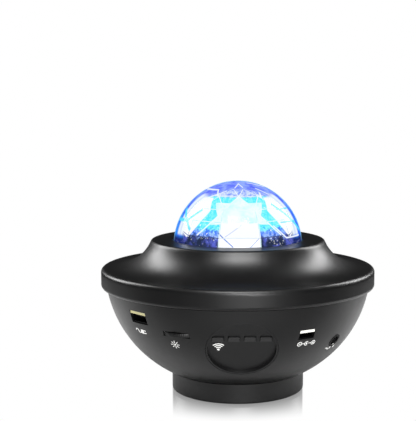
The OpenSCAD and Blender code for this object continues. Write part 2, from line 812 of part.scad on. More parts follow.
// Rings of corners of the prism dome: [elevation, shift in steps]. The first ring stands on the turntable.
prism_rows = [[0, 0], [0, 0], [13.5, 0], [28.5, 0], [42, 0], [60, 0.5], [76, 0]];
prism_n = len(prism_rows);
function prism_elevation(row, size) = row == 0 ? asin((turntable_top - dome_z) / size) : prism_rows[row][0];
function prism_point(row, i, size) = let (e = prism_elevation(row, size),
        a = (i + 0.5 + prism_rows[row][1]) * 360 / prism_sides - 90)
    [size * cos(e) * cos(a), size * cos(e) * sin(a), dome_z + size * sin(e)];
function prism_index(skin, row, i) = (skin * prism_n + row) * prism_sides + i % prism_sides;
function prism_cell(skin, row, i) = let (a = prism_index(skin, row, i), b = prism_index(skin, row, i + 1),
        d = prism_index(skin, row + 1, i), c = prism_index(skin, row + 1, i + 1),
        shift = prism_rows[row + 1][1] - prism_rows[row][1])
    shift > 0 ? [[a, d, b], [d, c, b]] : [[a, d, c], [a, c, b]];
function flip(face) = [face[0], face[2], face[1]];

module prism_dome() {
    sizes = [prism_r, prism_r - prism_wall];
    last = prism_n - 1;
    steps = [0:prism_sides - 1];
    points = [for (size = sizes) for (row = [0:last]) for (i = steps) prism_point(row, i, size)];
    outer = [for (row = [0:last - 1]) for (i = steps) each prism_cell(0, row, i)];
    inner = [for (row = [0:last - 1]) for (i = steps) for (face = prism_cell(1, row, i)) flip(face)];
    base = [for (i = steps) each [
        [prism_index(0, 0, i), prism_index(0, 0, i + 1), prism_index(1, 0, i + 1)],
        [prism_index(0, 0, i), prism_index(1, 0, i + 1), prism_index(1, 0, i)]]];
    caps = [[for (i = steps) prism_index(0, last, prism_sides - 1 - i)],
        [for (i = steps) prism_index(1, last, i)]];
    color([0.6, 0.85, 1, 0.6]) polyhedron(points, concat(outer, inner, base, caps));
}

module drive_pinion() {
    color([0.95, 0.95, 0.95]) rotate([0, 0, motor_direction]) translate([motor_ring, 0, 0]) difference() {
        union() {
            translate([0, 0, gear_bottom]) linear_extrude(gear_t - slide_gap)
                rotate(180 + 180 / pinion_teeth) gear_outline(pinion_teeth);
            peg(pinion_hub_r, gear_bottom - pinion_hub_h, gear_bottom + over);
        }
        peg(shaft_r + press_play, gear_bottom - pinion_hub_h - over, gear_top + over);
    }
}

module motor_shaft() {
    color([0.75, 0.75, 0.78]) rotate([0, 0, motor_direction]) translate([motor_ring, 0, 0])
        peg(shaft_r, plate_bottom - motor_h / 2, gear_top - slide_gap);
}

module gear_motor() {
    color([0.8, 0.8, 0.82]) rotate([0, 0, motor_direction]) translate([motor_ring, 0, 0]) difference() {
        union() {
            peg(motor_r, plate_bottom - motor_h, plate_bottom);
            peg(motor_boss_r, plate_bottom - over, plate_top + motor_boss_h);
        }
        peg(shaft_r + fit, plate_bottom - motor_h / 2 - slide_gap, plate_top + motor_boss_h + over);
        for (side = [-1, 1]) translate([0, side * motor_screw_gap, 0])
            peg(m2_r + fit, plate_bottom - motor_screw_bite - over / 2, plate_bottom + over);
    }
}

module motor_screws() {
    color([0.7, 0.7, 0.72]) rotate([0, 0, motor_direction]) translate([motor_ring, 0, 0])
        for (side = [-1, 1]) translate([0, side * motor_screw_gap, plate_top])
            screw(m2_r, plate_t + motor_screw_bite);
}

// The main board rests on the bowl's posts, with notches for the sockets and the button board
module main_board() {
    color([0.1, 0.35, 0.15]) difference() {
        peg(board_r, board_bottom, board_top);
        four(case_screw_ring, 45) peg(m3_r + hole_play, board_bottom - over, board_top + over);
        radial_block(front_cut[0], front_cut[1], band_r, board_bottom - over, board_top + over);
        rotate([0, 0, power_azimuth]) radial_block(power_out[0] + 2 * socket_play,
            power_mouth - power_l - socket_play, band_r, board_bottom - over, board_top + over);
        rotate([0, 0, jack_azimuth]) radial_block(jack_size[0] + 2 * socket_play + jack_notch_play,
            bowl_radius(jack_z) - jack_notch, band_r, board_bottom - over, board_top + over);
    }
}

module control_chips() {
    color([0.08, 0.08, 0.09]) for (chip = chips)
        translate([chip[0][0], chip[0][1], board_top]) cube(chip[1]);
}

module capacitors() {
    color([0.2, 0.25, 0.45]) for (can = cans) translate(can[0]) peg(can[1], board_top, board_top + can[2]);
}

module usb_sleeve() {
    color([0.75, 0.76, 0.78]) rotate([0, 0, usb_azimuth]) difference() {
        union() {
            radial_block(usb_out[0], usb_mouth - usb_l, usb_mouth,
                usb_z - usb_out[1] / 2, usb_z + usb_out[1] / 2);
            radial_block(usb_out[0] - 2 * usb_foot_in, usb_mouth - usb_l, board_r - board_edge,
                board_top, usb_z);
        }
        radial_block(usb_in[0], usb_mouth - usb_depth, usb_mouth + over,
            usb_z - usb_in[1] / 2, usb_z + usb_in[1] / 2);
    }
}

module usb_tongue() {
    top = usb_z + usb_in[1] / 2 - tongue_drop;
    back = usb_mouth - usb_depth;
    color([0.95, 0.92, 0.75]) rotate([0, 0, usb_azimuth])
        radial_block(usb_tongue_size[0], back, back + usb_tongue_size[1], top - usb_tongue_size[2], top);
}

module power_sleeve() {
    inside = [power_out[0] - 2 * power_wall, power_out[1] - 2 * power_wall];
    back = power_mouth - power_l;
    color([0.75, 0.76, 0.78]) rotate([0, 0, power_azimuth]) difference() {
        union() {
            radial_block(power_out[0], back, power_mouth,
                power_z - power_out[1] / 2, power_z + power_out[1] / 2);
            radial_block(power_out[0] + 2 * lug_out, back + lug_back, back + lug_back + lug_l,
                board_bottom - lug_t, board_bottom);
        }
        radial_block(inside[0], power_mouth - power_depth, power_mouth + over,
            power_z - inside[1] / 2, power_z + inside[1] / 2);
    }
}

module power_tongue() {
    top = power_z + power_out[1] / 2 - power_wall - tongue_drop;
    back = power_mouth - power_depth;
    color([0.96, 0.96, 0.94]) rotate([0, 0, power_azimuth]) radial_block(power_tongue_size[0],
        back, back + power_tongue_size[1], top - power_tongue_size[2], top);
}

module headphone_jack() {
    color([0.08, 0.08, 0.08]) on_bowl(jack_azimuth, jack_z) difference() {
        translate([-jack_size[0] / 2, -jack_size[1] / 2, jack_face - jack_size[2]]) cube(jack_size);
        peg(jack_bore_r, jack_face - jack_bore_l, jack_face + over);
    }
}

module brightness_wheel() {
    color([0.1, 0.1, 0.1]) rotate([0, 0, wheel_azimuth]) translate([0, -wheel_ring, 0]) difference() {
        peg(wheel_r, wheel_bottom, wheel_top);
        peg(wheel_shaft_r + fit, wheel_bottom - over, wheel_top + over);
        for (i = [0:wheel_notches - 1]) rotate([0, 0, 360 * i / wheel_notches])
            translate([wheel_r + notch_r / 3, 0, 0]) peg(notch_r, wheel_bottom - over, wheel_top + over);
    }
}

module dial_potentiometer() {
    color([0.3, 0.3, 0.32]) rotate([0, 0, wheel_azimuth]) translate([0, -wheel_ring, 0]) {
        peg(dial_r, wheel_top + dial_play, board_bottom);
        peg(wheel_shaft_r, wheel_bottom - wheel_shaft_out, wheel_top + dial_play + over / 2);
    }
}

module dial_screw() {
    top = wheel_bottom - wheel_shaft_out;
    color([0.7, 0.7, 0.72]) rotate([0, 0, wheel_azimuth]) translate([0, -wheel_ring, 0])
        peg(dial_screw_r, top - dial_screw_t, top);
}

// A rounded bar of a button's outline, drawn about its lower edge
module button_outline(grow_side, grow_low, grow_top) {
    w = button_w + 2 * grow_side;
    h = button_h + grow_low + grow_top;
    r = button_corner_r;
    translate([0, button_up - button_h / 2 - grow_low]) union() {
        translate([-w / 2, 0]) square([w, h - r]);
        translate([-w / 2 + r, 0]) square([w - 2 * r, h]);
        for (side = [-1, 1]) translate([side * (w / 2 - r), h - r]) circle(r = r, $fn = 48);
    }
}

// A tube at the local origin
module tube(r0, r1, z0, z1) {
    translate([0, 0, z0]) linear_extrude(z1 - z0) difference() {
        circle(r = r1);
        circle(r = r0);
    }
}

// The round panel: a flat face sunk behind a rim that follows the bowl, and a flange behind the wall
module button_panel() {
    color([0.13, 0.13, 0.13]) difference() {
        union() {
            on_bowl(0, panel_z) peg(panel_r, panel_back, panel_face);
            intersection() {
                on_bowl(0, panel_z) tube(panel_r - panel_rim_w, panel_r, panel_low, panel_high);
                bowl_skin(panel_rim_less, panel_in - skin_step);
            }
            intersection() {
                on_bowl(0, panel_z) tube(panel_flange_in_r, panel_flange_r, panel_low, panel_high);
                bowl_skin(panel_flange_out, panel_in);
            }
            on_bowl(0, panel_z) for (p = panel_bosses) translate([p[0], p[1], 0])
                peg(panel_boss_r, button_board_z, panel_back + over);
        }
        on_bowl(0, panel_z) {
            for (i = [0:button_count - 1]) translate([(i - button_half) * button_pitch, 0, panel_back - over])
                linear_extrude(button_cut_l) button_outline(button_gap, button_gap_low, button_gap_top);
            for (p = panel_bosses) translate([p[0], p[1], 0])
                peg(m2_r + fit, button_board_z - over, panel_face - boss_cap);
        }
    }
}

// A button: its cap stands out of the panel, a flange keeps it in and a stem reaches its switch
module button(i) {
    color([0.18, 0.18, 0.18]) on_bowl(0, panel_z) translate([(i - button_half) * button_pitch, 0, 0]) {
        translate([0, 0, button_flange_top - over / 2])
            linear_extrude(panel_face + button_out - button_flange_top + over / 2) button_outline(0, 0, 0);
        translate([-button_flange[0] / 2, button_up - button_flange[1] / 2,
            button_flange_top - button_flange[2]]) cube(button_flange);
        translate([-stem_size[0] / 2, button_up - stem_size[1] / 2, stem_bottom])
            cube([stem_size[0], stem_size[1], stem_size[2] + over / 2]);
    }
}

module button_1() { button(0); }

module button_2() { button(1); }

module button_3() { button(2); }

module button_4() { button(3); }

module button_board() {
    color([0.1, 0.35, 0.15]) on_bowl(0, panel_z) difference() {
        translate([-button_board_size[0] / 2, button_board_low, button_board_z - board_t])
            cube([button_board_size[0], button_board_size[1], board_t]);
        for (p = panel_bosses) translate([p[0], p[1], 0])
            peg(m2_r + hole_play, button_board_z - board_t - over, button_board_z + over);
    }
}

module button_board_screws() {
    color([0.7, 0.7, 0.72]) on_bowl(0, panel_z) for (p = panel_bosses)
        translate([p[0], p[1], button_board_z - board_t]) screw_up(m2_r, board_t + board_screw_bite);
}

module tact_switches() {
    color([0.6, 0.6, 0.6]) on_bowl(0, panel_z) for (i = [0:button_count - 1])
        translate([(i - button_half) * button_pitch, button_up, 0]) {
            translate([-switch_side / 2, -switch_side / 2, button_board_z])
                cube([switch_side, switch_side, switch_h]);
            peg(plunger_r, button_board_z + switch_h - over, button_board_z + switch_h + plunger_h);
        }
}

module ir_receiver() {
    color([0.15, 0.1, 0.12]) on_bowl(0, panel_z) translate([ir_place[0], ir_place[1], button_board_z]) {
        translate([-ir_body[0] / 2, -ir_body[1] / 2, 0]) cube(ir_body);
        peg(ir_lens_r, ir_body[2] - over, ir_body[2] - over + ir_lens_h);
    }
}

module microphone() {
    color([0.7, 0.7, 0.7]) on_bowl(0, panel_z) translate([microphone_place[0], microphone_place[1], 0])
        peg(microphone_r, button_board_z, button_board_z + microphone_h);
}

module speaker_gasket() {
    color([0.15, 0.15, 0.15]) difference() {
        ring(speaker_hole_r + slide_gap, speaker_r - rim_play, floor_top, frame_bottom);
        four(speaker_screw_ring, 45) peg(m2_r + hole_play, floor_top - over, frame_bottom + over);
    }
}

module speaker_frame() {
    color([0.3, 0.3, 0.32]) difference() {
        rotate_extrude() polygon([[frame_in_r, frame_bottom], [speaker_r, frame_bottom],
            [speaker_r, frame_top], [frame_in_r + frame_flange_w, frame_top], [basket_r, basket_top],
            [basket_r, magnet_bottom], [coil_out_r + coil_gap, magnet_bottom],
            [coil_out_r + coil_gap, basket_top], [basket_r - basket_wall, basket_top],
            [frame_in_r + frame_flange_w - basket_wall, frame_top], [frame_in_r, frame_top]]);
        four(speaker_screw_ring, 45) peg(m2_r + hole_play, frame_bottom - over, frame_top + over);
        four(magnet_r) translate([0, -window[1] / 2, window_z]) cube(window);
    }
}

module speaker_magnet() {
    color([0.25, 0.25, 0.25]) ring(coil_out_r + 1.3, magnet_r, magnet_bottom, magnet_top);
}

module speaker_yoke() {
    color([0.7, 0.7, 0.72]) rotate_extrude() union() {
        bar(0, magnet_r - 0.3, magnet_top, magnet_top + yoke_t);
        bar(0, pole_r, basket_top + 0.2, magnet_top + over);
    }
}

// Half-roll rubber edge between the frame and the cone
module speaker_surround() {
    color([0.1, 0.1, 0.1]) rotate_extrude() union() {
        bar(frame_in_r - surround_in, frame_in_r + surround_out, frame_top, surround_top);
        bar(cone_r - 1.6, cone_r, frame_top, surround_top);
        intersection() {
            difference() {
                translate([roll_x, surround_top - 0.1]) circle(r = roll_r);
                translate([roll_x, surround_top - 0.1]) circle(r = roll_r - surround_t);
            }
            bar(cone_r - 1, frame_in_r + 1, frame_bottom - over, surround_top);
        }
    }
}

module speaker_cone() {
    color([0.2, 0.2, 0.22]) rotate_extrude() polygon([[cone_r, surround_top], [cone_r, surround_top + cone_t],
        [cone_r - 0.8, surround_top + cone_t], [coil_out_r, coil_bottom + 2], [coil_out_r, coil_bottom + 1.3],
        [cone_r - 1.3, surround_top]]);
}

module dust_cap() {
    cap_cz = coil_bottom + cap_t + sqrt(pow(cap_sphere_r, 2) - pow(coil_in_r, 2));
    color([0.12, 0.12, 0.12]) rotate_extrude() intersection() {
        difference() {
            translate([0, cap_cz]) circle(r = cap_sphere_r);
            translate([0, cap_cz]) circle(r = cap_sphere_r - cap_t);
        }
        bar(0, coil_in_r, cap_cz - cap_sphere_r - over, coil_bottom + 1.6);
    }
}

module voice_coil() {
    color([0.8, 0.5, 0.3]) ring(coil_in_r, coil_out_r, coil_bottom, coil_top);
}

module speaker_screws() {
    color([0.7, 0.7, 0.72]) four(speaker_screw_ring, 45) translate([0, 0, frame_top])
        screw(m2_r, frame_t + gasket_t + floor_t * 0.7);
}

// A lead through hand-placed points
module lead(points) {
    for (i = [0:len(points) - 2]) hull() {
        translate(points[i]) sphere(r = lead_r, $fn = 16);
        translate(points[i + 1]) sphere(r = lead_r, $fn = 16);
    }
}

module speaker_wires() {
    x = basket_r;
    color([0.8, 0.1, 0.1]) lead([[-x - 2.7, 1, basket_top - 1.65], [-x - 5.7, 2, magnet_top - 3.2],
        [-x - 7.2, 0, board_bottom - lead_r]]);
}

module motor_wires() {
    y = motor_ring;
    color([0.8, 0.1, 0.1]) lead([[motor_r + lead_r, y, plate_bottom - 8], [motor_r + 4, y, plate_bottom - 9],
        [motor_r + 5, y - 2, board_top + lead_r]]);
}

module light_wires() {
    color([0.9, 0.9, 0.2]) lead([[lead_x, 0, sink_top - lead_r], [lead_x, 0.2, plate_bottom - 4],
        [lead_x + 4, 4, plate_bottom - 9], [lead_x + 4, 6, board_top + lead_r]]);
}

// Distance from the axis to the button board's back at a height
function button_board_back(z) = let (t = bowl_tilt(panel_z), back = button_board_z - board_t,
        along = (z - panel_z + back * sin(t)) / cos(t))
    bowl_radius(panel_z) + along * sin(t) + back * cos(t);

module button_wires() {
    z = board_top - 1.1;
    y = button_board_back(z) - lead_r / cos(bowl_tilt(panel_z)) - 0.1;
    color([0.9, 0.9, 0.9]) lead([[-3, -y, z], [-3, -y + 1.5, board_top + 2.4],
        [-3, -y + 4.5, board_top + 2.4], [-3, -y + 6.5, board_top + lead_r]]);
}

lower_shell();
upper_cover();
foot_ring();
base_plate();
rubber_feet();
base_screws();
case_screws();
clear_dome();
dome_retainer();
retainer_screws();
light_chassis();
chassis_screws();
heat_sink();
led_board();
led_lenses();
laser_module();
grating_lens();
turntable_gear();
turntable_clip();
prism_dome();
drive_pinion();
motor_shaft();
gear_motor();
motor_screws();
main_board();
control_chips();
capacitors();
usb_sleeve();
usb_tongue();
power_sleeve();
power_tongue();
headphone_jack();
brightness_wheel();
dial_potentiometer();
dial_screw();
button_panel();
button_1();
button_2();
button_3();
button_4();
button_board();
button_board_screws();
tact_switches();
ir_receiver();
microphone();
speaker_gasket();
speaker_frame();
speaker_magnet();
speaker_yoke();
speaker_surround();
speaker_cone();
dust_cap();
voice_coil();
speaker_screws();
speaker_wires();
motor_wires();
light_wires();
button_wires();
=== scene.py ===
import json
from math import asin, atan2, cos, pi, radians, sin, sqrt

import bpy
from mathutils import Matrix, Vector


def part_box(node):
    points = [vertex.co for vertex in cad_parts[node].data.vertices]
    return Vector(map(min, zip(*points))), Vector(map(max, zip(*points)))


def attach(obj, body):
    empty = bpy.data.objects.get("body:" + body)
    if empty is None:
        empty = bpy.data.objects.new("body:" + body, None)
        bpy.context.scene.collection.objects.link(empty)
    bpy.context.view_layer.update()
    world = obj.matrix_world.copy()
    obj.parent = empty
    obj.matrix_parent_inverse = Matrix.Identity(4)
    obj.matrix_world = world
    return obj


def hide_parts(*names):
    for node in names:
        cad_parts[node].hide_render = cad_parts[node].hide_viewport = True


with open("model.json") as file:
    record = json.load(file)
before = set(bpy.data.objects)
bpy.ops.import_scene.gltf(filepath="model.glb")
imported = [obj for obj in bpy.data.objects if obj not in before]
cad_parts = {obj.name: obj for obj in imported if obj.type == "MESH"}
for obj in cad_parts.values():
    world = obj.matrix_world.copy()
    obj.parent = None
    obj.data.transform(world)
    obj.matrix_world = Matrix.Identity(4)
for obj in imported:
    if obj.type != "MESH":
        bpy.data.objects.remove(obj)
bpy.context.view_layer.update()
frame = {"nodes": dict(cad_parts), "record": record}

# Star night light projector: a saucer-shaped housing on a round foot, and a lit prism dome under a clear one.
# The front is at -Y. Azimuths are in degrees from the front, positive towards +X. Lengths are in metres.

MM = 0.001

# The bowl's profile: an arc from the foot to the rim, its centre above the parting line
BAND_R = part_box("upper_cover")[1].x
RIM_R = BAND_R - 3.4 * MM
PARTING_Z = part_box("upper_cover")[0].z
FOOT_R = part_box("foot_ring")[1].x
FOOT_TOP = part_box("foot_ring")[1].z
BOWL_LOW_R = FOOT_R + 0.9 * MM
BOWL_RISE = 12 * MM
BOWL_CZ = PARTING_Z + BOWL_RISE
BOWL_CX = (RIM_R + BOWL_LOW_R - ((BOWL_CZ - FOOT_TOP) ** 2 - BOWL_RISE ** 2) / (RIM_R - BOWL_LOW_R)) / 2
BOWL_CURVE = sqrt((RIM_R - BOWL_CX) ** 2 + BOWL_RISE ** 2)

# Both domes share one centre, a little below the deck
DOME_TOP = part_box("clear_dome")[1].z
DECK_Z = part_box("upper_cover")[1].z
DOME_Z = DECK_Z - 3.8 * MM

# The prism dome: nine sides, and rings of corners above its foot. Each ring has its elevation and its turn,
# counted in steps from one side to the next.
PRISM_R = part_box("prism_dome")[1].y
PRISM_FOOT_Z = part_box("prism_dome")[0].z
PRISM_WALL = 1.8 * MM
PRISM_EDGE_W = 0.24 * MM
PRISM_SIDES = 9
STEP = 2 * pi / PRISM_SIDES
PRISM_RINGS = [(0, 0), (13.5, 0), (28.5, 0), (42, 0), (60, 0.5), (76, 0)]
# The front facet's upper edge
FACET_TOP = PRISM_RINGS[2][0]
# Between these elevations the turned ring twists the cells
TWISTED = (43, 75)

# Places on the bowl: azimuth, height
USB = (-48.5, 55.3 * MM)
POWER = (29.2, 48.1 * MM)
JACK = (50.1, 39.7 * MM)
PLUG_SIGN = (-49.7, 46.7 * MM)
SUN_SIGN = (-30.9, 42.0 * MM)
POWER_SIGN = (30.3, 42.3 * MM)
HEADPHONE_SIGN = (49.6, 36.0 * MM)

# The flat sockets' cut-outs: width, height
USB_CUT = (14 * MM, 7.3 * MM)
POWER_CUT = (10.4 * MM, 5.7 * MM)

# The round panel's flat face, in the bowl's frame at the panel's centre, and the arcs' place on it
PANEL = (0, 39.1 * MM)
PANEL_R = 20.2 * MM
PANEL_DEPTH = 1.8 * MM
PANEL_FACE = sqrt(BOWL_CURVE ** 2 - PANEL_R ** 2) - BOWL_CURVE - PANEL_DEPTH
ARCS_SIGN = (-13.05 * MM, 0.4 * MM)

WHITE = (1.0, 1.0, 1.0)


# ---------------------------------------------------------------- shader maths

class Value:
    """A node's output. Arithmetic on it adds Math nodes."""

    def __init__(self, board, socket):
        self.board = board
        self.socket = socket

    def maths(self, operation, *others):
        return self.board.maths(operation, self, *others)

    def __add__(self, other):
        return self.maths("ADD", other)

    def __sub__(self, other):
        return self.maths("SUBTRACT", other)

    def __rsub__(self, other):
        return self.board.maths("SUBTRACT", other, self)

    def __mul__(self, other):
        return self.maths("MULTIPLY", other)

    def __pow__(self, other):
        return self.maths("POWER", other)

    def __abs__(self):
        return self.maths("ABSOLUTE")

    def __gt__(self, other):
        return self.maths("GREATER_THAN", other)

    def __lt__(self, other):
        return self.maths("LESS_THAN", other)

    __radd__ = __add__
    __rmul__ = __mul__

    def ramp(self, low, high):
        """0 at low, 1 at high, smooth between."""
        settings = {"interpolation_type": "SMOOTHSTEP"}
        inputs = {"Value": self, "From Min": low, "From Max": high}
        return self.board.node("MapRange", settings, inputs)["Result"]


class Board:
    """The nodes of a material or of the world."""

    def __init__(self, owner):
        owner.use_nodes = True
        self.owner = owner
        self.tree = owner.node_tree
        self.tree.nodes.clear()

    def node(self, kind, settings=None, inputs=None):
        """Adds a node: its settings first, then its sockets' values or links. Gives its outputs by name."""
        made = self.tree.nodes.new("ShaderNode" + kind)
        for key, value in (settings or {}).items():
            setattr(made, key, value)
        for key, value in (inputs or {}).items():
            socket = made.inputs[key]
            if isinstance(value, Value):
                self.tree.links.new(value.socket, socket)
            elif socket.type == "RGBA":
                socket.default_value = (*value, 1)
            else:
                socket.default_value = value
        return {output.name: Value(self, output) for output in made.outputs if output.enabled}

    def maths(self, operation, *values):
        return self.node("Math", {"operation": operation}, dict(enumerate(values)))["Value"]

    def place(self):
        """Object coordinates."""
        return self.node("TexCoord")["Object"]

    def axes(self):
        """Object coordinates as three numbers."""
        parts = self.node("SeparateXYZ", None, {"Vector": self.place()})
        return parts["X"], parts["Y"], parts["Z"]

    def noise(self, size, detail=2.0, roughness=0.5, stretch=None):
        """Noise whose blobs are about size long. stretch scales the axes."""
        place = self.place()
        if stretch:
            place = self.node("Mapping", None, {"Vector": place, "Scale": stretch})["Vector"]
        inputs = {"Vector": place, "Scale": 1 / size, "Detail": detail, "Roughness": roughness}
        return self.node("TexNoise", None, inputs)["Fac"]

    def mix(self, factor, low, high):
        """A colour between low and high."""
        return self.node("Mix", {"data_type": "RGBA"}, {0: factor, 6: low, 7: high})["Result"]

    def bump(self, height, distance, under=None):
        """A bumped surface, over its own normal or the one given as under."""
        inputs = {"Height": height, "Distance": distance}
        if under:
            inputs["Normal"] = under
        return self.node("Bump", None, inputs)["Normal"]

    def rounded_above(self, height, radius):
        """The surface's normal, with the edges above a height rounded to a radius."""
        above = self.axes()[2] > height
        plain = self.node("NewGeometry")["Normal"]
        rounded = self.node("Bevel", {"samples": 8}, {"Radius": radius})["Normal"]
        return self.node("Mix", {"data_type": "VECTOR"}, {0: above, 4: plain, 5: rounded})["Result"]

    def seen(self):
        """1 for what the camera sees, also through clear plastic, 0 for light that the object catches."""
        path = self.node("LightPath")
        return most(path["Is Camera Ray"], path["Is Transmission Ray"])

    def principled(self, **inputs):
        """A Principled shader. An underscore stands for a space in its inputs' names."""
        names = {key.replace("_", " "): value for key, value in inputs.items()}
        return self.node("BsdfPrincipled", None, names)["BSDF"]

    def finish(self, shader):
        """Ends a material with its shader."""
        self.node("OutputMaterial", None, {"Surface": shader})
        return self.owner


def new_material(name):
    return Board(bpy.data.materials.new(name))


def most(*values):
    """The largest of several values."""
    top = values[0]
    for value in values[1:]:
        top = top.maths("MAXIMUM", value)
    return top


def reach(x, y):
    """How far (x, y) lies from the middle."""
    return (x * x + y * y).maths("SQRT")


def shaded(colour, factor):
    """A colour made darker or lighter."""
    return tuple(part * factor for part in colour)


# ---------------------------------------------------------------- finishes

def moulded_plastic(name, colour, shade, rough, grain=0.006 * MM, specular=0.5, glow=0.0, rounded=None):
    """Moulded plastic: a fine spark-eroded grain, a faint flow pattern and uneven gloss, with painted light
    where glow is set.
    """
    board = new_material(name)
    flow = board.noise(14 * MM, 3, 0.55)
    fine = board.noise(0.16 * MM, 2, 0.6)
    wipe = board.noise(5 * MM, 4, 0.6, (1, 1, 0.35))
    base = board.mix(flow, shaded(colour, 1 - shade), shaded(colour, 1 + shade))
    gloss = rough - 0.035 + 0.07 * wipe
    under = board.rounded_above(*rounded) if rounded else None
    return board.finish(board.principled(Base_Color=base, Roughness=gloss, Specular_IOR_Level=specular,
                                         Emission_Color=base, Emission_Strength=glow,
                                         Normal=board.bump(fine, grain, under)))


def soft_rubber(name, colour):
    """Rubber: matt, with a pebbled skin."""
    board = new_material(name)
    pebble = board.node("TexVoronoi", {"feature": "F1"}, {"Vector": board.place(), "Scale": 1 / (0.5 * MM)})
    cloud = board.noise(4 * MM, 2)
    base = board.mix(cloud, shaded(colour, 0.8), shaded(colour, 1.25))
    return board.finish(board.principled(Base_Color=base, Roughness=0.7 + 0.12 * cloud,
                                         Normal=board.bump(pebble["Distance"], 0.02 * MM)))


def turned_metal(name, colour, rough, line=0.12 * MM):
    """Metal with fine tool lines round the axis and a cloudy polish."""
    board = new_material(name)
    x, y, z = board.axes()
    rings = board.node("CombineXYZ", None, {"X": reach(x, y), "Y": z})["Vector"]
    lines = board.node("TexNoise", None, {"Vector": rings, "Scale": 1 / line, "Detail": 1.0})["Fac"]
    cloud = board.noise(3 * MM, 3)
    base = board.mix(cloud, shaded(colour, 0.85), colour)
    return board.finish(board.principled(Base_Color=base, Metallic=1.0, Roughness=rough + 0.12 * lines,
                                         Normal=board.bump(lines, 0.004 * MM)))


def circuit_board(name, mask, copper):
    """Lacquered board with traces that run under the mask."""
    board = new_material(name)
    inputs = {"Vector": board.place(), "Scale": 1 / (1.6 * MM), "Randomness": 0.35}
    cells = board.node("TexVoronoi", {"feature": "DISTANCE_TO_EDGE"}, inputs)["Distance"]
    traces = 1 - cells.ramp(0.03, 0.07)
    weave = board.noise(0.3 * MM, 1)
    base = board.mix(traces * 0.45, mask, copper)
    return board.finish(board.principled(Base_Color=base, Roughness=0.28 + 0.1 * weave,
                                         Normal=board.bump(traces, 0.02 * MM)))


def wire_sleeve(name, colour):
    """Wire insulation: slightly mottled, half gloss."""
    board = new_material(name)
    mottle = board.noise(0.8 * MM, 2)
    base = board.mix(mottle, shaded(colour, 0.8), colour)
    return board.finish(board.principled(Base_Color=base, Roughness=0.4 + 0.1 * mottle))


def pressed_grain(name, colour):
    """Pressed fibre of a speaker cone, or the sintered grain of its magnet."""
    board = new_material(name)
    fibre = board.noise(0.6 * MM, 5, 0.7, (1, 0.4, 1))
    base = board.mix(fibre, shaded(colour, 0.6), shaded(colour, 1.4))
    return board.finish(board.principled(Base_Color=base, Roughness=0.8 + 0.1 * fibre,
                                         Normal=board.bump(fibre, 0.05 * MM)))


def ink(name, colour):
    """Printed sign: slightly uneven white ink, with a painted glow that lightens it."""
    board = new_material(name)
    dots = board.noise(0.25 * MM, 2)
    base = board.mix(dots, shaded(colour, 0.9), colour)
    # painted light: the ink glows as if brightly lit
    return board.finish(board.principled(Base_Color=base, Roughness=0.45 + 0.1 * dots,
                                         Emission_Color=base, Emission_Strength=0.6))


def lamp_lens(name):
    """Moulded lens over a lit diode."""
    board = new_material(name)
    cloud = board.noise(1.5 * MM, 2)
    base = board.mix(cloud, (0.75, 0.9, 1.0), WHITE)
    return board.finish(board.principled(Base_Color=base, Roughness=0.12, Emission_Color=base,
                                         Emission_Strength=0.6))


# ---------------------------------------------------------------- the light on the domes

# Lines of painted light on the clear dome: a line's width, then its points as azimuth and elevation, all in
# degrees.
# White ones run over the crown, cyan ones down the sides.
WHITE_LIGHT_LINES = [(1.7, (-88, 62), (-42, 63), (-32, 54)),
              (1.8, (-9, 67), (0, 77), (10, 68)),
              (2.2, (42, 79), (80, 66)),
              (1.4, (38, 66), (53, 55)),
              (2.2, (37, 59), (32, 51)),
              (1.1, (-53, 49), (-22, 62)),
              (1.1, (33, 23), (46, 11.5), (70, 11.5))]
CYAN_LIGHT_LINES = [(2.3, (-77, 36), (-60, 26), (-51, 18)),
             (2.3, (-82, 25.3), (-60, 26), (-44, 38)),
             (2.6, (42, 44), (76, 15)),
             (1.0, (45, 37.7), (70, 37.4)),
             (0.9, (43, 25.4), (70, 24.5))]

# The prism's white streak, from the mint light down through the sky: its width and its two ends
SKY_STREAK = (1.0, (20, 42), (49, 15))

# Fine seams across the prism's front facet: strength, then width and two ends as above
FRONT_SEAMS = [(0.45, 0.55, (2.0, 27.8), (-15.0, 15.0)),
               (1.0, 0.75, (-22.0, 19.0), (-6.5, 5.5)),
               (0.7, 0.5, (19.0, 13.5), (10.0, 4.5))]


def dome_place(board):
    """A point's azimuth, folded so that the back repeats the front, and its elevation, in degrees."""
    x, y, z = board.axes()
    turn = abs(x.maths("ARCTAN2", 0 - y)) * (180 / pi)
    folded = turn.maths("MINIMUM", 180 - turn)
    side = 2 * (x > 0.0) - 1
    elevation = (z - DOME_Z).maths("ARCTAN2", reach(x, y)) * (180 / pi)
    return folded * side, elevation


def streak(azimuth, elevation, width, start, end):
    """1 on a straight line from start to end, given as azimuth and elevation."""
    dx, dz = end[0] - start[0], end[1] - start[1]
    length = sqrt(dx * dx + dz * dz)
    off = abs((azimuth - start[0]) * (dz / length) - (elevation - start[1]) * (dx / length))
    along = (azimuth - start[0]) * (dx / length) + (elevation - start[1]) * (dz / length)
    inside = (along > 0.0) * (along < length)
    return (1 - off.ramp(width * 0.35, width)) * inside


def bent_line(azimuth, elevation, width, *points):
    """1 on a line through several points."""
    return most(*(streak(azimuth, elevation, width, *ends) for ends in zip(points, points[1:])))


def light_lines(azimuth, elevation, cuts):
    """1 on every line of a list."""
    return most(*(bent_line(azimuth, elevation, *cut) for cut in cuts))


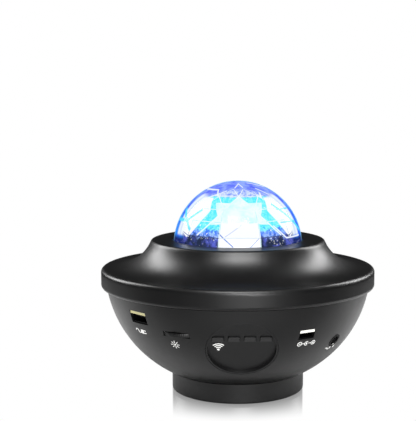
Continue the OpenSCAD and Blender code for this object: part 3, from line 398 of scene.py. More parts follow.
def clear_shell(name):
    """Clear polycarbonate dome with painted light from inside: see-through in front, a painted blue glow at
    its sides, and lines of painted light.
    """
    board = new_material(name)
    azimuth, elevation = dome_place(board)
    turned = board.node("LayerWeight", None, {"Blend": 0.5})["Facing"]
    haze = board.noise(5 * MM, 3)

    # painted light: blue low down and violet above, with a painted white patch between, and dark at the foot
    low = board.mix(haze.ramp(0.35, 0.65), (0.02, 0.10, 0.90), (0.03, 0.30, 1.0))
    high = board.mix(haze.ramp(0.35, 0.65), (0.09, 0.12, 0.85), (0.30, 0.42, 1.0))
    painted_white_patch = elevation.ramp(11.0, 14.0) * (1 - elevation.ramp(52.0, 58.0)) * (1 - turned.ramp(0.66, 0.74))
    painted_light = board.mix(elevation.ramp(25.0, 60.0), low, high)
    painted_light = board.mix(painted_white_patch, painted_light, (0.92, 1.0, 1.0))
    painted_light = board.mix(elevation.ramp(8.0, 13.0), (0.004, 0.008, 0.08), painted_light)

    # a painted pale sheen along the outline, where the dome turns away, less of it at the foot
    painted_rim_sheen = turned.ramp(0.80, 0.93) * (0.25 + 0.75 * elevation.ramp(4.0, 14.0))
    painted_light = board.mix(painted_rim_sheen * 0.7, painted_light, (0.35, 0.80, 1.0))

    # the lines of painted light lie on the dome's outer face alone
    ends = {0: board.place(), 1: (0, 0, DOME_Z)}
    from_centre = board.node("VectorMath", {"operation": "DISTANCE"}, ends)["Value"]
    outer = from_centre > DOME_TOP - DOME_Z - 0.5 * MM
    white = light_lines(azimuth, elevation, WHITE_LIGHT_LINES) * outer
    cyan = light_lines(azimuth, elevation, CYAN_LIGHT_LINES) * outer
    painted_light = board.mix(cyan, painted_light, (0.10, 0.78, 0.96))
    painted_light = board.mix(white, painted_light, (0.92, 0.97, 1.0))

    # the painted light covers what lies behind it where the dome turns away and on the lines
    body = board.principled(Base_Color=(0.01, 0.02, 0.1), Roughness=0.08, Specular_IOR_Level=0.05,
                            Emission_Color=painted_light, Emission_Strength=1.0)
    clear = board.node("BsdfTransparent", None, {"Color": (0.985, 0.992, 1.0)})["BSDF"]
    cover = most(turned.ramp(0.50, 0.66), white, cyan) * 0.9 + 0.01 * haze
    lit = board.node("MixShader", None, {"Fac": cover, 1: clear, 2: body})["Shader"]
    gloss = board.node("BsdfGlossy", None, {"Color": WHITE, "Roughness": 0.03})["BSDF"]
    mirror = 0.006 + 0.25 * turned ** 8
    return board.finish(board.node("MixShader", None, {"Fac": mirror, 1: lit, 2: gloss})["Shader"])


def stars(board, size):
    """Small bright dots, in about one in six of the cells of a size."""
    share, spread = 0.16, 0.34
    cell = board.node("TexVoronoi", {"feature": "F1"}, {"Vector": board.place(), "Scale": 1 / size})
    pick = board.node("SeparateColor", None, {"Color": cell["Color"]})["Red"]
    return (1 - cell["Distance"].ramp(spread * 0.4, spread)) * (pick > 1 - share)


def starry_sky(board, elevation, cloud, wisp):
    """Navy at the foot, then blue, then cyan, with stars that are dimmer at the foot."""
    navy = board.mix(cloud.ramp(0.42, 0.68), (0.002, 0.002, 0.012), (0.10, 0.12, 0.62))
    blue = board.mix(wisp.ramp(0.35, 0.65), (0.02, 0.17, 0.93), (0.33, 0.50, 0.95))
    cyan = board.mix(wisp.ramp(0.35, 0.75), (0.07, 0.85, 0.98), (0.30, 1.0, 1.0))
    height = elevation + 16 * (wisp - 0.5)
    sky = board.mix(height.ramp(12.5, 16.5), navy, blue)
    sky = board.mix(height.ramp(19.0, 24.0), sky, cyan)
    star = most(stars(board, 1.9 * MM), stars(board, 0.9 * MM)) * (0.45 + 0.55 * elevation.ramp(10, 16))
    return board.mix(star, sky, WHITE)


def front_peak(azimuth, elevation):
    """1 on the mint light's peak, which reaches into the crown."""
    return (azimuth < 14.0) * (elevation < 62.5 - 0.75 * azimuth)


def mint_window(azimuth, elevation):
    """1 where mint light shows: a window over the front, which widens upwards, and a wedge on either side."""
    edge = 21 + 0.75 * (elevation - FACET_TOP).maths("MAXIMUM", 0.0)
    window = (azimuth < edge) * (elevation < 52.0) * (elevation > 0.0)
    wedge = (elevation > 27.0) * (elevation < 60.8 - 0.94 * azimuth)
    return most(window, wedge)


def white_windows(azimuth, elevation):
    """1 where white light shows: the front facet at the foot, and a wide patch on either side."""
    front = (azimuth < 20.2) * (elevation < FACET_TOP)
    lean = 0.62 + 0.05 * (elevation > 42.0)
    beside = azimuth - (40 + abs(elevation - 42) * lean)
    above = elevation - 0.10 * abs(azimuth - 68)
    side = beside.ramp(0.0, 1.2) * above.ramp(10.5, 12.0) * (1 - elevation.ramp(57.0, 59.0))
    return most(front, side)


def violet_crown(board, elevation, cloud, wisp):
    """Violet light, paler low down."""
    low = board.mix(wisp.ramp(0.35, 0.60), (0.20, 0.30, 0.92), (0.70, 0.80, 0.99))
    high = board.mix(cloud.ramp(0.35, 0.60), (0.09, 0.12, 0.85), (0.26, 0.38, 0.98))
    return board.mix(elevation.ramp(68.0, 78.0), low, high)


def front_seams(across, elevation):
    """Fine seams across the front facet."""
    return most(*(streak(across, elevation, *seam) * strength for strength, *seam in FRONT_SEAMS))


def prism_facets(name):
    """The lit prism dome: white and mint light in front, a starry sky beside it, violet in the crown."""
    board = new_material(name)
    across, elevation = dome_place(board)
    azimuth = abs(across)
    cloud = board.noise(7 * MM, 4, 0.6)
    wisp = board.noise(2.2 * MM, 3, 0.6)
    peak = front_peak(azimuth, elevation)
    mint = board.mix(cloud.ramp(0.30, 0.60), (0.62, 0.98, 0.95), (0.90, 1.0, 0.98))
    light = starry_sky(board, elevation, cloud, wisp)
    light = board.mix(most(mint_window(azimuth, elevation), peak), light, mint)
    light = board.mix(white_windows(azimuth, elevation), light, WHITE)
    crown = (elevation + 4 * (wisp - 0.5)).ramp(58.0, 62.0) * (1 - peak)
    light = board.mix(crown, light, violet_crown(board, elevation, cloud, wisp))
    light = board.mix(streak(azimuth, elevation, *SKY_STREAK), light, (0.95, 1.0, 1.0))
    light = board.mix(front_seams(across, elevation), light, (0.10, 0.22, 0.62))
    cut = board.noise(1.2 * MM, 2)
    return board.finish(board.principled(Base_Color=(0.02, 0.03, 0.06), Roughness=0.12,
                                         Specular_IOR_Level=0.06, Emission_Color=light,
                                         Emission_Strength=1.0, Normal=board.bump(cut, 0.004 * MM)))


def prism_edges(name):
    """The facets' cut edges: navy at the foot, or grey in front, then pale blue, and white at the crown."""
    board = new_material(name)
    across, elevation = dome_place(board)
    vary = board.noise(3 * MM, 2)
    foot = board.mix(abs(across) < 20.5, (0.02, 0.03, 0.16), (0.72, 0.80, 0.84))
    pale = board.mix(vary.ramp(0.4, 0.6), (0.50, 0.90, 0.97), (0.90, 1.0, 1.0))
    low = board.mix(elevation.ramp(16.0, 26.0), foot, pale)
    glow = board.mix(elevation.ramp(35.0, 50.0), low, (0.92, 0.96, 1.0))
    return board.finish(board.principled(Base_Color=(0.02, 0.03, 0.06), Roughness=0.1, Specular_IOR_Level=0.1,
                                         Emission_Color=glow, Emission_Strength=1.0))


# ---------------------------------------------------------------- every node's finish

# The grain of the outer housing, which is finer than on other plastic
OUTER_GRAIN = 0.003 * MM
# In the shading alone, the cover's edges above this height are rounded to this radius
COVER_EDGE = (PARTING_Z + 5 * MM, 2.2 * MM)

FINISHES = {
    "housing_plastic": moulded_plastic("satin_black_housing", (0.0046, 0.0046, 0.0048), shade=0.12,
                                       rough=0.36, grain=OUTER_GRAIN, specular=0.55),
    "panel_plastic": moulded_plastic("satin_black_panel", (0.0075, 0.0075, 0.0078), shade=0.12, rough=0.40,
                                     specular=0.55),
    "inner_black": moulded_plastic("plain_black_inner", (0.002, 0.002, 0.002), shade=0.2, rough=0.6,
                                   specular=0.2),
    "foot_rubber": soft_rubber("black_rubber", (0.03, 0.03, 0.03)),
    "screw_steel": turned_metal("bright_screw_steel", (0.62, 0.62, 0.64), rough=0.28),
    "clear_plastic": clear_shell("clear_dome_plastic"),
    "prism_plastic": prism_facets("prism_facets"),
    "lamp_lens": lamp_lens("lamp_lens"),
    "white_plastic": moulded_plastic("white_chassis_plastic", (0.75, 0.75, 0.74), shade=0.06, rough=0.42),
    "aluminium": turned_metal("machined_aluminium", (0.78, 0.79, 0.8), rough=0.34),
    "lamp_board": circuit_board("white_lamp_board", mask=(0.8, 0.8, 0.78), copper=(0.7, 0.7, 0.6)),
    "brass": turned_metal("turned_brass", (0.8, 0.58, 0.25), rough=0.25),
    "motor_metal": turned_metal("plated_motor_can", (0.66, 0.66, 0.68), rough=0.3),
    "circuit_board": circuit_board("green_circuit_board", mask=(0.01, 0.12, 0.03), copper=(0.04, 0.3, 0.08)),
    "chip_black": moulded_plastic("chip_resin", (0.02, 0.02, 0.022), shade=0.2, rough=0.5),
    "capacitor_sleeve": moulded_plastic("capacitor_sleeve", (0.03, 0.05, 0.2), shade=0.1, rough=0.25),
    "socket_steel": turned_metal("dark_nickel_socket", (0.025, 0.025, 0.027), rough=0.4),
    # The tongues' lips have painted light: they glow, to look brightly lit in their sockets.
    "socket_cream": moulded_plastic("cream_socket_tongue", (0.62, 0.58, 0.32), shade=0.06, rough=0.4,
                                    glow=0.35),
    "socket_white": moulded_plastic("white_socket_tongue", (0.88, 0.88, 0.82), shade=0.04, rough=0.4,
                                    glow=0.55),
    "speaker_steel": turned_metal("stamped_speaker_steel", (0.25, 0.25, 0.26), rough=0.4),
    "magnet_ferrite": pressed_grain("sintered_ferrite", (0.1, 0.1, 0.1)),
    "cone_paper": pressed_grain("black_cone_paper", (0.03, 0.03, 0.035)),
    "coil_copper": turned_metal("enamelled_copper", (0.7, 0.32, 0.16), rough=0.25, line=0.08 * MM),
    "wire_red": wire_sleeve("red_wire", (0.5, 0.02, 0.02)),
    "wire_yellow": wire_sleeve("yellow_wire", (0.7, 0.55, 0.03)),
    "wire_white": wire_sleeve("white_wire", (0.8, 0.8, 0.78)),
}
COVER_FINISH = moulded_plastic("satin_black_cover", (0.0044, 0.0044, 0.0046), shade=0.12, rough=0.36,
                               grain=OUTER_GRAIN, specular=0.55, rounded=COVER_EDGE)
BUTTON_FINISH = moulded_plastic("satin_black_buttons", (0.021, 0.021, 0.0215), shade=0.1, rough=0.38,
                                specular=0.7)
SIGN_INK = ink("white_sign_ink", (0.82, 0.82, 0.80))
PRISM_EDGE = prism_edges("prism_edges")

SLOTS = {part["node"]: part["material_slot"] for part in frame["record"]["subparts"]}

# Nodes with a finish that isn't their slot's. The tongues are dark behind their coloured lips.
OWN_FINISHES = {
    "upper_cover": COVER_FINISH,
    "button_1": BUTTON_FINISH,
    "button_2": BUTTON_FINISH,
    "button_3": BUTTON_FINISH,
    "button_4": BUTTON_FINISH,
    "usb_tongue": FINISHES["inner_black"],
    "power_tongue": FINISHES["inner_black"],
}


def dress(node):
    """Gives a CAD node its finish."""
    mesh = frame["nodes"][node].data
    mesh.materials.clear()
    mesh.materials.append(OWN_FINISHES.get(node, FINISHES[SLOTS[node]]))


for node_name in frame["nodes"]:
    dress(node_name)


# ---------------------------------------------------------------- modelling helpers

# Edges are rounded off where the faces turn by more than this, and shaded smooth where they turn by less
SOFTEN_ANGLE = radians(40)
SMOOTH_ANGLE = radians(35)


def deselect():
    bpy.ops.object.select_all(action="DESELECT")


def take(piece):
    """Makes a piece the only one selected, and the active one."""
    deselect()
    piece.select_set(True)
    bpy.context.view_layer.objects.active = piece


def edit(piece, mode="FACE"):
    """Opens a piece in edit mode with nothing selected."""
    take(piece)
    bpy.ops.object.mode_set(mode="EDIT")
    bpy.ops.mesh.select_mode(type=mode)
    bpy.ops.mesh.select_all(action="DESELECT")


def pick_faces(piece, test):
    """Selects the faces that pass the test, from edit mode."""
    bpy.ops.object.mode_set(mode="OBJECT")
    for face in piece.data.polygons:
        face.select = test(face)
    bpy.ops.object.mode_set(mode="EDIT")


def close_edit():
    bpy.ops.object.mode_set(mode="OBJECT")


def modifier(piece, kind, **settings):
    """Adds a modifier and applies it."""
    take(piece)
    made = piece.modifiers.new(kind.lower(), kind)
    for key, value in settings.items():
        setattr(made, key, value)
    bpy.ops.object.modifier_apply(modifier=made.name)


def soften(piece, width):
    """Rounds the edges off."""
    modifier(piece, "BEVEL", width=width, segments=2, limit_method="ANGLE", angle_limit=SOFTEN_ANGLE)


def settle(piece):
    """Puts the piece's place into its mesh."""
    take(piece)
    bpy.ops.object.transform_apply(location=True, rotation=True, scale=True)


def join(pieces):
    deselect()
    for piece in pieces:
        piece.select_set(True)
    bpy.context.view_layer.objects.active = pieces[0]
    bpy.ops.object.join()
    return pieces[0]


def mount(piece, name, body, finish=None, replaced=(), smooth=True):
    """Names a finished piece and lets it ride on its body. A piece given no finish keeps its own."""
    piece.name = name
    piece.data.name = name
    settle(piece)
    if smooth:
        take(piece)
        bpy.ops.object.shade_smooth_by_angle(angle=SMOOTH_ANGLE)
    if finish:
        piece.data.materials.clear()
        piece.data.materials.append(finish)
    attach(piece, body)
    if replaced:
        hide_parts(*replaced)


def block(size, centre):
    """A block of a size."""
    deselect()
    bpy.ops.mesh.primitive_cube_add(size=1, location=centre)
    piece = bpy.context.object
    piece.scale = size
    settle(piece)
    return piece


def cylinder(radius, length, centre, sides=64):
    """An upright cylinder."""
    deselect()
    bpy.ops.mesh.primitive_cylinder_add(vertices=sides, radius=radius, depth=length, location=centre)
    piece = bpy.context.object
    settle(piece)
    return piece


def around(azimuth, radius, z):
    """A point at an azimuth from the front."""
    a = radians(azimuth)
    return Vector((radius * sin(a), -radius * cos(a), z))


def bowl_radius(z):
    """The bowl's outside radius at a height."""
    return BOWL_CX + sqrt(BOWL_CURVE ** 2 - (BOWL_CZ - z) ** 2)


def bowl_frame(azimuth, z):
    """The frame on the bowl's outside: X across, Y up the bowl, Z outwards."""
    t = asin((BOWL_CZ - z) / BOWL_CURVE)
    a = radians(azimuth)
    across = Vector((cos(a), sin(a), 0))
    out = Vector((cos(t) * sin(a), -cos(t) * cos(a), -sin(t)))
    up = out.cross(across)
    axes = Matrix((across, up, out)).transposed().to_4x4()
    return Matrix.Translation(around(azimuth, bowl_radius(z), z)) @ axes


# ---------------------------------------------------------------- the prism dome

def prism_dome():
    """Nine sides in six rings, cut and bevelled as one block, hollow inside."""
    foot_r = sqrt(PRISM_R ** 2 - (DOME_Z - PRISM_FOOT_Z) ** 2)
    merge_gap, least_bend = 1e-6, radians(3)
    deselect()
    bpy.ops.mesh.primitive_circle_add(vertices=PRISM_SIDES, radius=foot_r, location=(0, 0, PRISM_FOOT_Z))
    piece = bpy.context.object
    settle(piece)
    radius, z, turn = foot_r, PRISM_FOOT_Z, 0
    edit(piece, "EDGE")
    bpy.ops.mesh.select_all(action="SELECT")
    for elevation, next_turn in PRISM_RINGS:
        next_radius = PRISM_R * cos(radians(elevation))
        next_z = DOME_Z + PRISM_R * sin(radians(elevation))
        bpy.ops.mesh.extrude_edges_move(TRANSFORM_OT_translate={"value": (0, 0, next_z - z)})
        grow = next_radius / radius
        bpy.ops.transform.resize(value=(grow, grow, 1), center_override=(0, 0, next_z))
        if next_turn != turn:
            bpy.ops.transform.rotate(value=(next_turn - turn) * STEP, orient_axis="Z",
                                     center_override=(0, 0, next_z))
        radius, z, turn = next_radius, next_z, next_turn
    bpy.ops.mesh.edge_face_add()
    bpy.ops.mesh.select_all(action="SELECT")
    bpy.ops.mesh.remove_doubles(threshold=merge_gap)
    bpy.ops.mesh.normals_make_consistent(inside=False)

    # the flat cells stay whole; the twisted ones below and above the turned ring split into triangles
    low, high = (DOME_Z + PRISM_R * sin(radians(elevation)) for elevation in TWISTED)
    bpy.ops.mesh.select_mode(type="FACE")
    pick_faces(piece, lambda face: low < face.center.z < high)
    bpy.ops.mesh.quads_convert_to_tris(quad_method="SHORTEST_DIAGONAL", ngon_method="BEAUTY")
    close_edit()

    # a narrow bevel along every edge takes the second finish
    piece.data.materials.append(FINISHES["prism_plastic"])
    piece.data.materials.append(PRISM_EDGE)
    modifier(piece, "BEVEL", width=PRISM_EDGE_W, segments=1, limit_method="ANGLE", angle_limit=least_bend,
             material=1)
    modifier(piece, "SOLIDIFY", thickness=PRISM_WALL, offset=-1)
    mount(piece, "prism_block", "turntable", replaced=("prism_dome",), smooth=False)


# ---------------------------------------------------------------- controls and sockets

def knurled_wheel():
    """The dial: ridges round its edge, a dished face and a bore for its pin."""
    low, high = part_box("brightness_wheel")
    centre = (low + high) / 2
    radius, thick = (high.x - low.x) / 2, high.z - low.z
    ridges, ridge_h, pin_r = 72, 0.16 * MM, 3.05 * MM
    rim_w, step_w, dish = 1.6 * MM, 0.5 * MM, 0.25 * MM
    wheel = cylinder(radius - ridge_h, thick, centre, 2 * ridges)
    edit(wheel)

    def is_ridge(face):
        turn = atan2(face.center.y - centre.y, face.center.x - centre.x) / (pi / ridges)
        return abs(face.normal.z) < 0.5 and round(turn - 0.5) % 2 == 0

    pick_faces(wheel, is_ridge)
    bpy.ops.mesh.extrude_region_shrink_fatten(TRANSFORM_OT_shrink_fatten={"value": ridge_h})
    pick_faces(wheel, lambda face: abs(face.normal.z) > 0.9 and len(face.vertices) > 8)
    bpy.ops.mesh.inset(thickness=rim_w, depth=0)
    bpy.ops.mesh.inset(thickness=step_w, depth=-dish)
    close_edit()
    pin = cylinder(pin_r, 3 * thick, centre)
    modifier(wheel, "BOOLEAN", object=pin, operation="DIFFERENCE", solver="EXACT")
    bpy.data.objects.remove(pin)
    soften(wheel, 0.07 * MM)
    mount(wheel, "knurled_wheel", "wheel", FINISHES["panel_plastic"], ("brightness_wheel",))


def contacts(name, azimuth, tongue, pitch, width, length):
    """Four spring contacts under a socket's tongue, with their front ends bent up."""
    thick, end_l, end_rise, gap = 0.18 * MM, 0.5 * MM, 0.12 * MM, 0.1 * MM
    low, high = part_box(tongue)
    middle = (low + high) / 2
    under = Matrix.Translation((middle.x, middle.y, low.z - gap)) @ Matrix.Rotation(radians(azimuth), 4, "Z")
    strips = []
    for place in (-1.5, -0.5, 0.5, 1.5):
        strip = block((width, length, thick), (place * pitch, 0, 0))
        edit(strip)
        pick_faces(strip, lambda face: face.normal.y < -0.9)
        bpy.ops.mesh.extrude_region_move(TRANSFORM_OT_translate={"value": (0, -end_l, end_rise)})
        close_edit()
        strip.data.transform(under)
        strips.append(strip)
    piece = join(strips)
    soften(piece, 0.05 * MM)
    mount(piece, name, "housing", FINISHES["socket_steel"])


def tongue_lip(name, place, cut, slot_name):
    """The front of a socket's tongue, which fills the top of the cut-out and has a shallow recess."""
    azimuth, z = place
    width, height = cut
    thick, side_gap, top_gap, front_gap, back = 1.6 * MM, 0.3 * MM, 0.15 * MM, 0.35 * MM, 0.5 * MM
    recess_in, recess = 0.25 * MM, 0.12 * MM
    top = z + height / 2 - top_gap
    inner = bowl_radius(z - height / 2) - back
    outer = bowl_radius(top - thick) - front_gap
    size = (width - 2 * side_gap, outer - inner, thick)
    lip = block(size, (0, -(outer + inner) / 2, top - thick / 2))
    edit(lip)
    pick_faces(lip, lambda face: face.normal.y < -0.9)
    bpy.ops.mesh.inset(thickness=recess_in, depth=0)
    bpy.ops.mesh.extrude_region_move(TRANSFORM_OT_translate={"value": (0, recess, 0)})
    close_edit()
    soften(lip, 0.08 * MM)
    lip.data.transform(Matrix.Rotation(radians(azimuth), 4, "Z"))
    mount(lip, name, "housing", FINISHES[slot_name])


def jack_ring(name, slot_name, inner, outer, height, edge):
    """A ring round the headphone bore, at a height over the bowl's outside, its edges rounded."""
    thick = 0.5 * MM
    ring = cylinder(outer, thick, (0, 0, height))
    edit(ring)
    pick_faces(ring, lambda face: abs(face.normal.z) > 0.9)
    bpy.ops.mesh.inset(thickness=outer - inner, depth=0)
    bpy.ops.mesh.bridge_edge_loops()
    close_edit()
    soften(ring, edge)
    ring.data.transform(bowl_frame(*JACK))
    mount(ring, name, "housing", FINISHES[slot_name])


# ---------------------------------------------------------------- printed signs

# Height of the ink above the surface under it, and its thickness
INK_LIFT = 0.07 * MM
INK_THICK = 0.04 * MM


def print_on_bowl(piece, place):
    """Lays a flat sign round the bowl: X runs across and Y up the bowl."""
    azimuth, z = place
    start = asin((BOWL_CZ - z) / BOWL_CURVE)
    for vertex in piece.data.vertices:
        x, y = vertex.co.xy
        t = start - y / BOWL_CURVE
        radius = BOWL_CX + BOWL_CURVE * cos(t)
        a = radians(azimuth) + x / radius
        out = radius + INK_LIFT * cos(t)
        vertex.co = (out * sin(a), -out * cos(a), BOWL_CZ - (BOWL_CURVE + INK_LIFT) * sin(t))


def print_on_panel(piece, place):
    """Lays a flat sign on the round panel."""
    piece.data.transform(bowl_frame(*PANEL) @ Matrix.Translation((*place, PANEL_FACE + INK_LIFT)))


def bar_shape(width, height, centre, turn=0.0):
    """A flat bar of ink."""
    deselect()
    bpy.ops.mesh.primitive_grid_add(x_subdivisions=4, y_subdivisions=4, size=1, location=(0, 0, 0))
    piece = bpy.context.object
    piece.scale = (width, height, 1)
    piece.rotation_euler = (0, 0, turn)
    piece.location = (*centre, 0)
    settle(piece)
    return piece


def dot_shape(radius, centre):
    """A round dot of ink."""
    deselect()
    bpy.ops.mesh.primitive_circle_add(vertices=24, radius=radius, fill_type="TRIFAN", location=(*centre, 0))
    piece = bpy.context.object
    settle(piece)
    return piece


def arc_shape(inner, outer, middle, spread, centre=(0, 0), parts=20):
    """A band of a ring, spread about the angle middle."""
    deselect()
    bpy.ops.mesh.primitive_grid_add(x_subdivisions=parts, y_subdivisions=2, size=1, location=(0, 0, 0))
    piece = bpy.context.object
    for vertex in piece.data.vertices:
        a = middle + vertex.co.x * spread
        r = (inner + outer) / 2 + vertex.co.y * (outer - inner)
        vertex.co = (centre[0] + r * cos(a), centre[1] + r * sin(a), 0)
    return piece


def sign(name, shapes, lay, place):
    """Joins flat shapes into a sign, lays it in its place and gives it a little thickness."""
    piece = join(shapes)
    lay(piece, place)
    edit(piece)
    bpy.ops.mesh.select_all(action="SELECT")
    bpy.ops.mesh.normals_make_consistent(inside=False)
    close_edit()
    modifier(piece, "SOLIDIFY", thickness=INK_THICK, offset=0)
    mount(piece, name, "housing", SIGN_INK, smooth=False)


def sun_sign():
    """A dot with eight rays."""
    dot_r, rays, ray_l, ray_w, ray_middle = 0.6 * MM, 8, 1.7 * MM, 0.40 * MM, 1.95 * MM
    shapes = [dot_shape(dot_r, (0, 0))]
    for i in range(rays):
        a = i * 2 * pi / rays
        shapes.append(bar_shape(ray_l, ray_w, (ray_middle * cos(a), ray_middle * sin(a)), a))
    sign("sun_sign", shapes, print_on_bowl, SUN_SIGN)


def plug_sign():
    """A plug seen from the side: its body, two pins and its curled lead."""
    body, body_x = (2.2 * MM, 2.7 * MM), 1.4 * MM
    pin, pin_x, pin_y = (2.1 * MM, 0.62 * MM), 3.5 * MM, 0.85 * MM
    bend_in, bend_out, down, up = 0.85 * MM, 1.5 * MM, (-0.85 * MM, 0.2 * MM), (-3.2 * MM, 0.2 * MM)
    shapes = [bar_shape(*body, (body_x, 0))]
    for y in (pin_y, -pin_y):
        shapes.append(bar_shape(*pin, (pin_x, y)))
    shapes.append(arc_shape(bend_in, bend_out, -pi / 2, pi, down))
    shapes.append(arc_shape(bend_in, bend_out, pi / 2, pi, up))
    sign("plug_sign", shapes, print_on_bowl, PLUG_SIGN)


def power_sign():
    """The polarity sign of a power socket: minus, a centre contact in its ring, plus."""
    line, stroke, dot_r, ring_open = 0.42 * MM, 1.5 * MM, 0.62 * MM, radians(110)
    ring_in, ring_out, ring_x = 1.15 * MM, 1.57 * MM, 4.6 * MM
    left_x, right_l, right_x = -2.3 * MM, 1.9 * MM, 2.2 * MM
    shapes = [dot_shape(dot_r, (0, 0)),
              arc_shape(ring_in, ring_out, pi, 2 * pi - ring_open, parts=32),
              bar_shape(right_l, line, (right_x, 0)),
              bar_shape(stroke, line, (left_x, 0))]
    for x in (-ring_x, ring_x):
        shapes.append(arc_shape(ring_in, ring_out, 0, 2 * pi, (x, 0), 32))
        shapes.append(bar_shape(stroke, line, (x, 0)))
    shapes.append(bar_shape(line, stroke, (ring_x, 0)))
    sign("power_sign", shapes, print_on_bowl, POWER_SIGN)


def headphone_sign():
    """Headphones beside a short cord."""
    line, band_in, band_x = 0.55 * MM, 1.5 * MM, 1.9 * MM
    ear, ear_x, ear_y = (1.0 * MM, 1.7 * MM), 1.8 * MM, -0.7 * MM
    bend_in, bend, cord_l, cord = 1.0 * MM, (-1.4 * MM, -0.5 * MM), 2.2 * MM, (-3.7 * MM, -0.4 * MM)
    shapes = [arc_shape(band_in, band_in + line, pi / 2, pi, (band_x, 0))]
    for x in (band_x - ear_x, band_x + ear_x):
        shapes.append(bar_shape(*ear, (x, ear_y)))
    shapes.append(arc_shape(bend_in, bend_in + line, -pi / 2, pi, bend))
    shapes.append(bar_shape(cord_l, line, cord))
    sign("headphone_sign", shapes, print_on_bowl, HEADPHONE_SIGN)


def arcs_sign():
    """Three arcs over a dot."""
    low, line, spread, dot_r, dot_lift = -2.5 * MM, 0.66 * MM, radians(84), 0.72 * MM, 0.1 * MM
    shapes = [dot_shape(dot_r, (0, low + dot_lift))]
    for radius in (1.85 * MM, 3.2 * MM, 4.55 * MM):
        shapes.append(arc_shape(radius - line / 2, radius + line / 2, pi / 2, spread, (0, low)))
    sign("arcs_sign", shapes, print_on_panel, ARCS_SIGN)


# ---------------------------------------------------------------- stage, lights, camera

# Painted light and shade on the floor, as the object sees it: its grey in front of the object, beside it and
# far away, and where each turns into the next: along Y from front to side, and by the distance from the
# middle to far away
FLOOR_FRONT = 0.30
FLOOR_SIDE = 0.85
FLOOR_FAR = 0.03
SIDE_FROM = (-120 * MM, 20 * MM)
FAR_FROM = (160 * MM, 500 * MM)

# The floor's width
FLOOR_W = 12

# A painted pool of light on the floor in front: its middle, its inner and outer radius, and its strength
LIGHT_POOL = (10 * MM, -260 * MM)
LIGHT_POOL_RADII = (60 * MM, 200 * MM)
LIGHT_POOL_STRENGTH = 0.35

# The foot's mirror image, as the camera sees it: it leans and narrows towards the front, and fades away
MIRROR_LEAN = 0.0332
MIRROR_NARROW = 0.064
MIRROR_EDGE = (-0.6 * MM, 0.4 * MM)
MIRROR_FADE = (FOOT_R - 6 * MM, FOOT_R + 34 * MM)
MIRROR_STRENGTH = 0.72

# The world's grey, as the object sees it
WORLD_GREY = 0.012

# The point that the lamps face
AIM = Vector((0, 0, 70 * MM))


def grey(level):
    return (level, level, level)


def studio_floor():
    """Pure white floor with a fading mirror image of the foot. The object sees it as a dimmer grey floor with
    painted light and shade: dark in front and far away, pale beside it and in a pool in front.
    """
    board = new_material("white_floor")
    x, y, _ = board.axes()
    out = reach(x, y)
    beside = y.ramp(*SIDE_FROM)
    painted_pool = 1 - reach(x - LIGHT_POOL[0], y - LIGHT_POOL[1]).ramp(*LIGHT_POOL_RADII)
    near = board.mix(most(beside, painted_pool * LIGHT_POOL_STRENGTH), grey(FLOOR_FRONT), grey(FLOOR_SIDE))
    tone = board.mix(out.ramp(*FAR_FROM), near, grey(FLOOR_FAR))
    lit = board.principled(Base_Color=tone, Roughness=0.8, Specular_IOR_Level=0.0)
    white = board.node("Emission", None, {"Color": WHITE, "Strength": 1.0})["Emission"]
    mirror = board.node("BsdfGlossy", None, {"Color": WHITE, "Roughness": 0.06})["BSDF"]
    beyond = abs(x - MIRROR_LEAN * y) - MIRROR_NARROW * y - FOOT_R
    under = (1 - beyond.ramp(*MIRROR_EDGE)) * (y < 0.0)
    share = under * (1 - out.ramp(*MIRROR_FADE)) * MIRROR_STRENGTH
    image = board.node("MixShader", None, {"Fac": share, 1: white, 2: mirror})["Shader"]
    shader = board.node("MixShader", None, {"Fac": board.seen(), 1: lit, 2: image})["Shader"]
    deselect()
    bpy.ops.mesh.primitive_plane_add(size=FLOOR_W, location=(0, 0, 0))
    floor = bpy.context.object
    floor.name = "studio_floor"
    floor.data.materials.append(board.finish(shader))


def studio_world():
    """White behind the object for the camera, dim for everything else."""
    world = bpy.data.worlds.new("studio")
    bpy.context.scene.world = world
    board = Board(world)
    tone = board.mix(board.seen(), grey(WORLD_GREY), WHITE)
    back = board.node("Background", None, {"Color": tone})["Background"]
    board.node("OutputWorld", None, {"Surface": back})


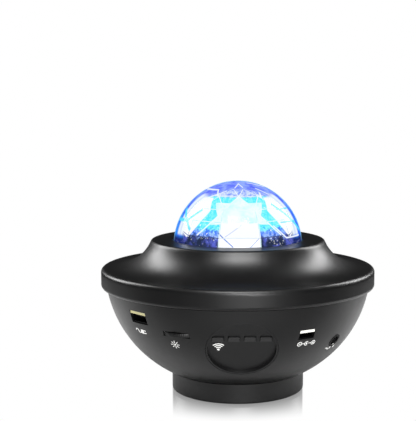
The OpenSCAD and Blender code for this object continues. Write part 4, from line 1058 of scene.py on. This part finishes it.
def softbox(name, azimuth, elevation, distance, size, power):
    """An area light that faces the object."""
    bpy.ops.object.light_add(type="AREA")
    lamp = bpy.context.object
    lamp.name = name
    lamp.data.shape = "RECTANGLE"
    lamp.data.size, lamp.data.size_y = size
    lamp.data.energy = power
    e = radians(elevation)
    lamp.location = around(azimuth, distance * cos(e), distance * sin(e)) + AIM
    lamp.rotation_euler = (AIM - lamp.location).to_track_quat("-Z", "Y").to_euler()


def camera():
    """The camera stands 0.64 m away, a little above the object, and looks slightly down."""
    distance, height, azimuth, pitch = 636.5 * MM, 181 * MM, -1.9, 6.29
    # focal length, the picture's long side, and the lens axis's place right of the middle, in pixels
    focal, long_side, axis_right = 1040.3, 421, 29.8
    bpy.ops.object.camera_add(location=around(azimuth, distance, height))
    eye = bpy.context.object
    eye.rotation_euler = (radians(90 - pitch), 0, radians(azimuth))
    eye.data.sensor_width = 36
    eye.data.lens = focal * eye.data.sensor_width / long_side
    eye.data.shift_x = -axis_right / long_side
    eye.data.clip_start = 0.01
    bpy.context.scene.camera = eye


camera()
studio_world()
studio_floor()
softbox("front_top_softbox", azimuth=0, elevation=50, distance=0.9, size=(0.55, 0.30), power=7.5)
softbox("front_low_softbox", azimuth=6, elevation=9, distance=0.9, size=(0.42, 0.14), power=5.0)
softbox("left_rim_softbox", azimuth=-123, elevation=30, distance=0.8, size=(0.35, 0.45), power=4.4)
softbox("right_rim_softbox", azimuth=123, elevation=30, distance=0.8, size=(0.30, 0.45), power=4.0)

prism_dome()
knurled_wheel()
contacts("data_contacts", USB[0], "usb_tongue", pitch=2.3 * MM, width=1.1 * MM, length=8 * MM)
contacts("power_contacts", POWER[0], "power_tongue", pitch=1.6 * MM, width=0.7 * MM, length=6 * MM)
tongue_lip("data_tongue_lip", USB, USB_CUT, "socket_cream")
tongue_lip("power_tongue_lip", POWER, POWER_CUT, "socket_white")
jack_ring("jack_bush", "socket_steel", inner=1.85 * MM, outer=2.75 * MM, height=-1.05 * MM, edge=0.12 * MM)
# A black ring of painted shade round the mouth of the jack's bore
jack_ring("jack_shadow_ring", "inner_black", inner=3.0 * MM, outer=4.4 * MM, height=-0.12 * MM, edge=0.1 * MM)
sun_sign()
plug_sign()
power_sign()
headphone_sign()
arcs_sign()

bpy.context.scene.view_settings.view_transform = "Standard"
deselect()
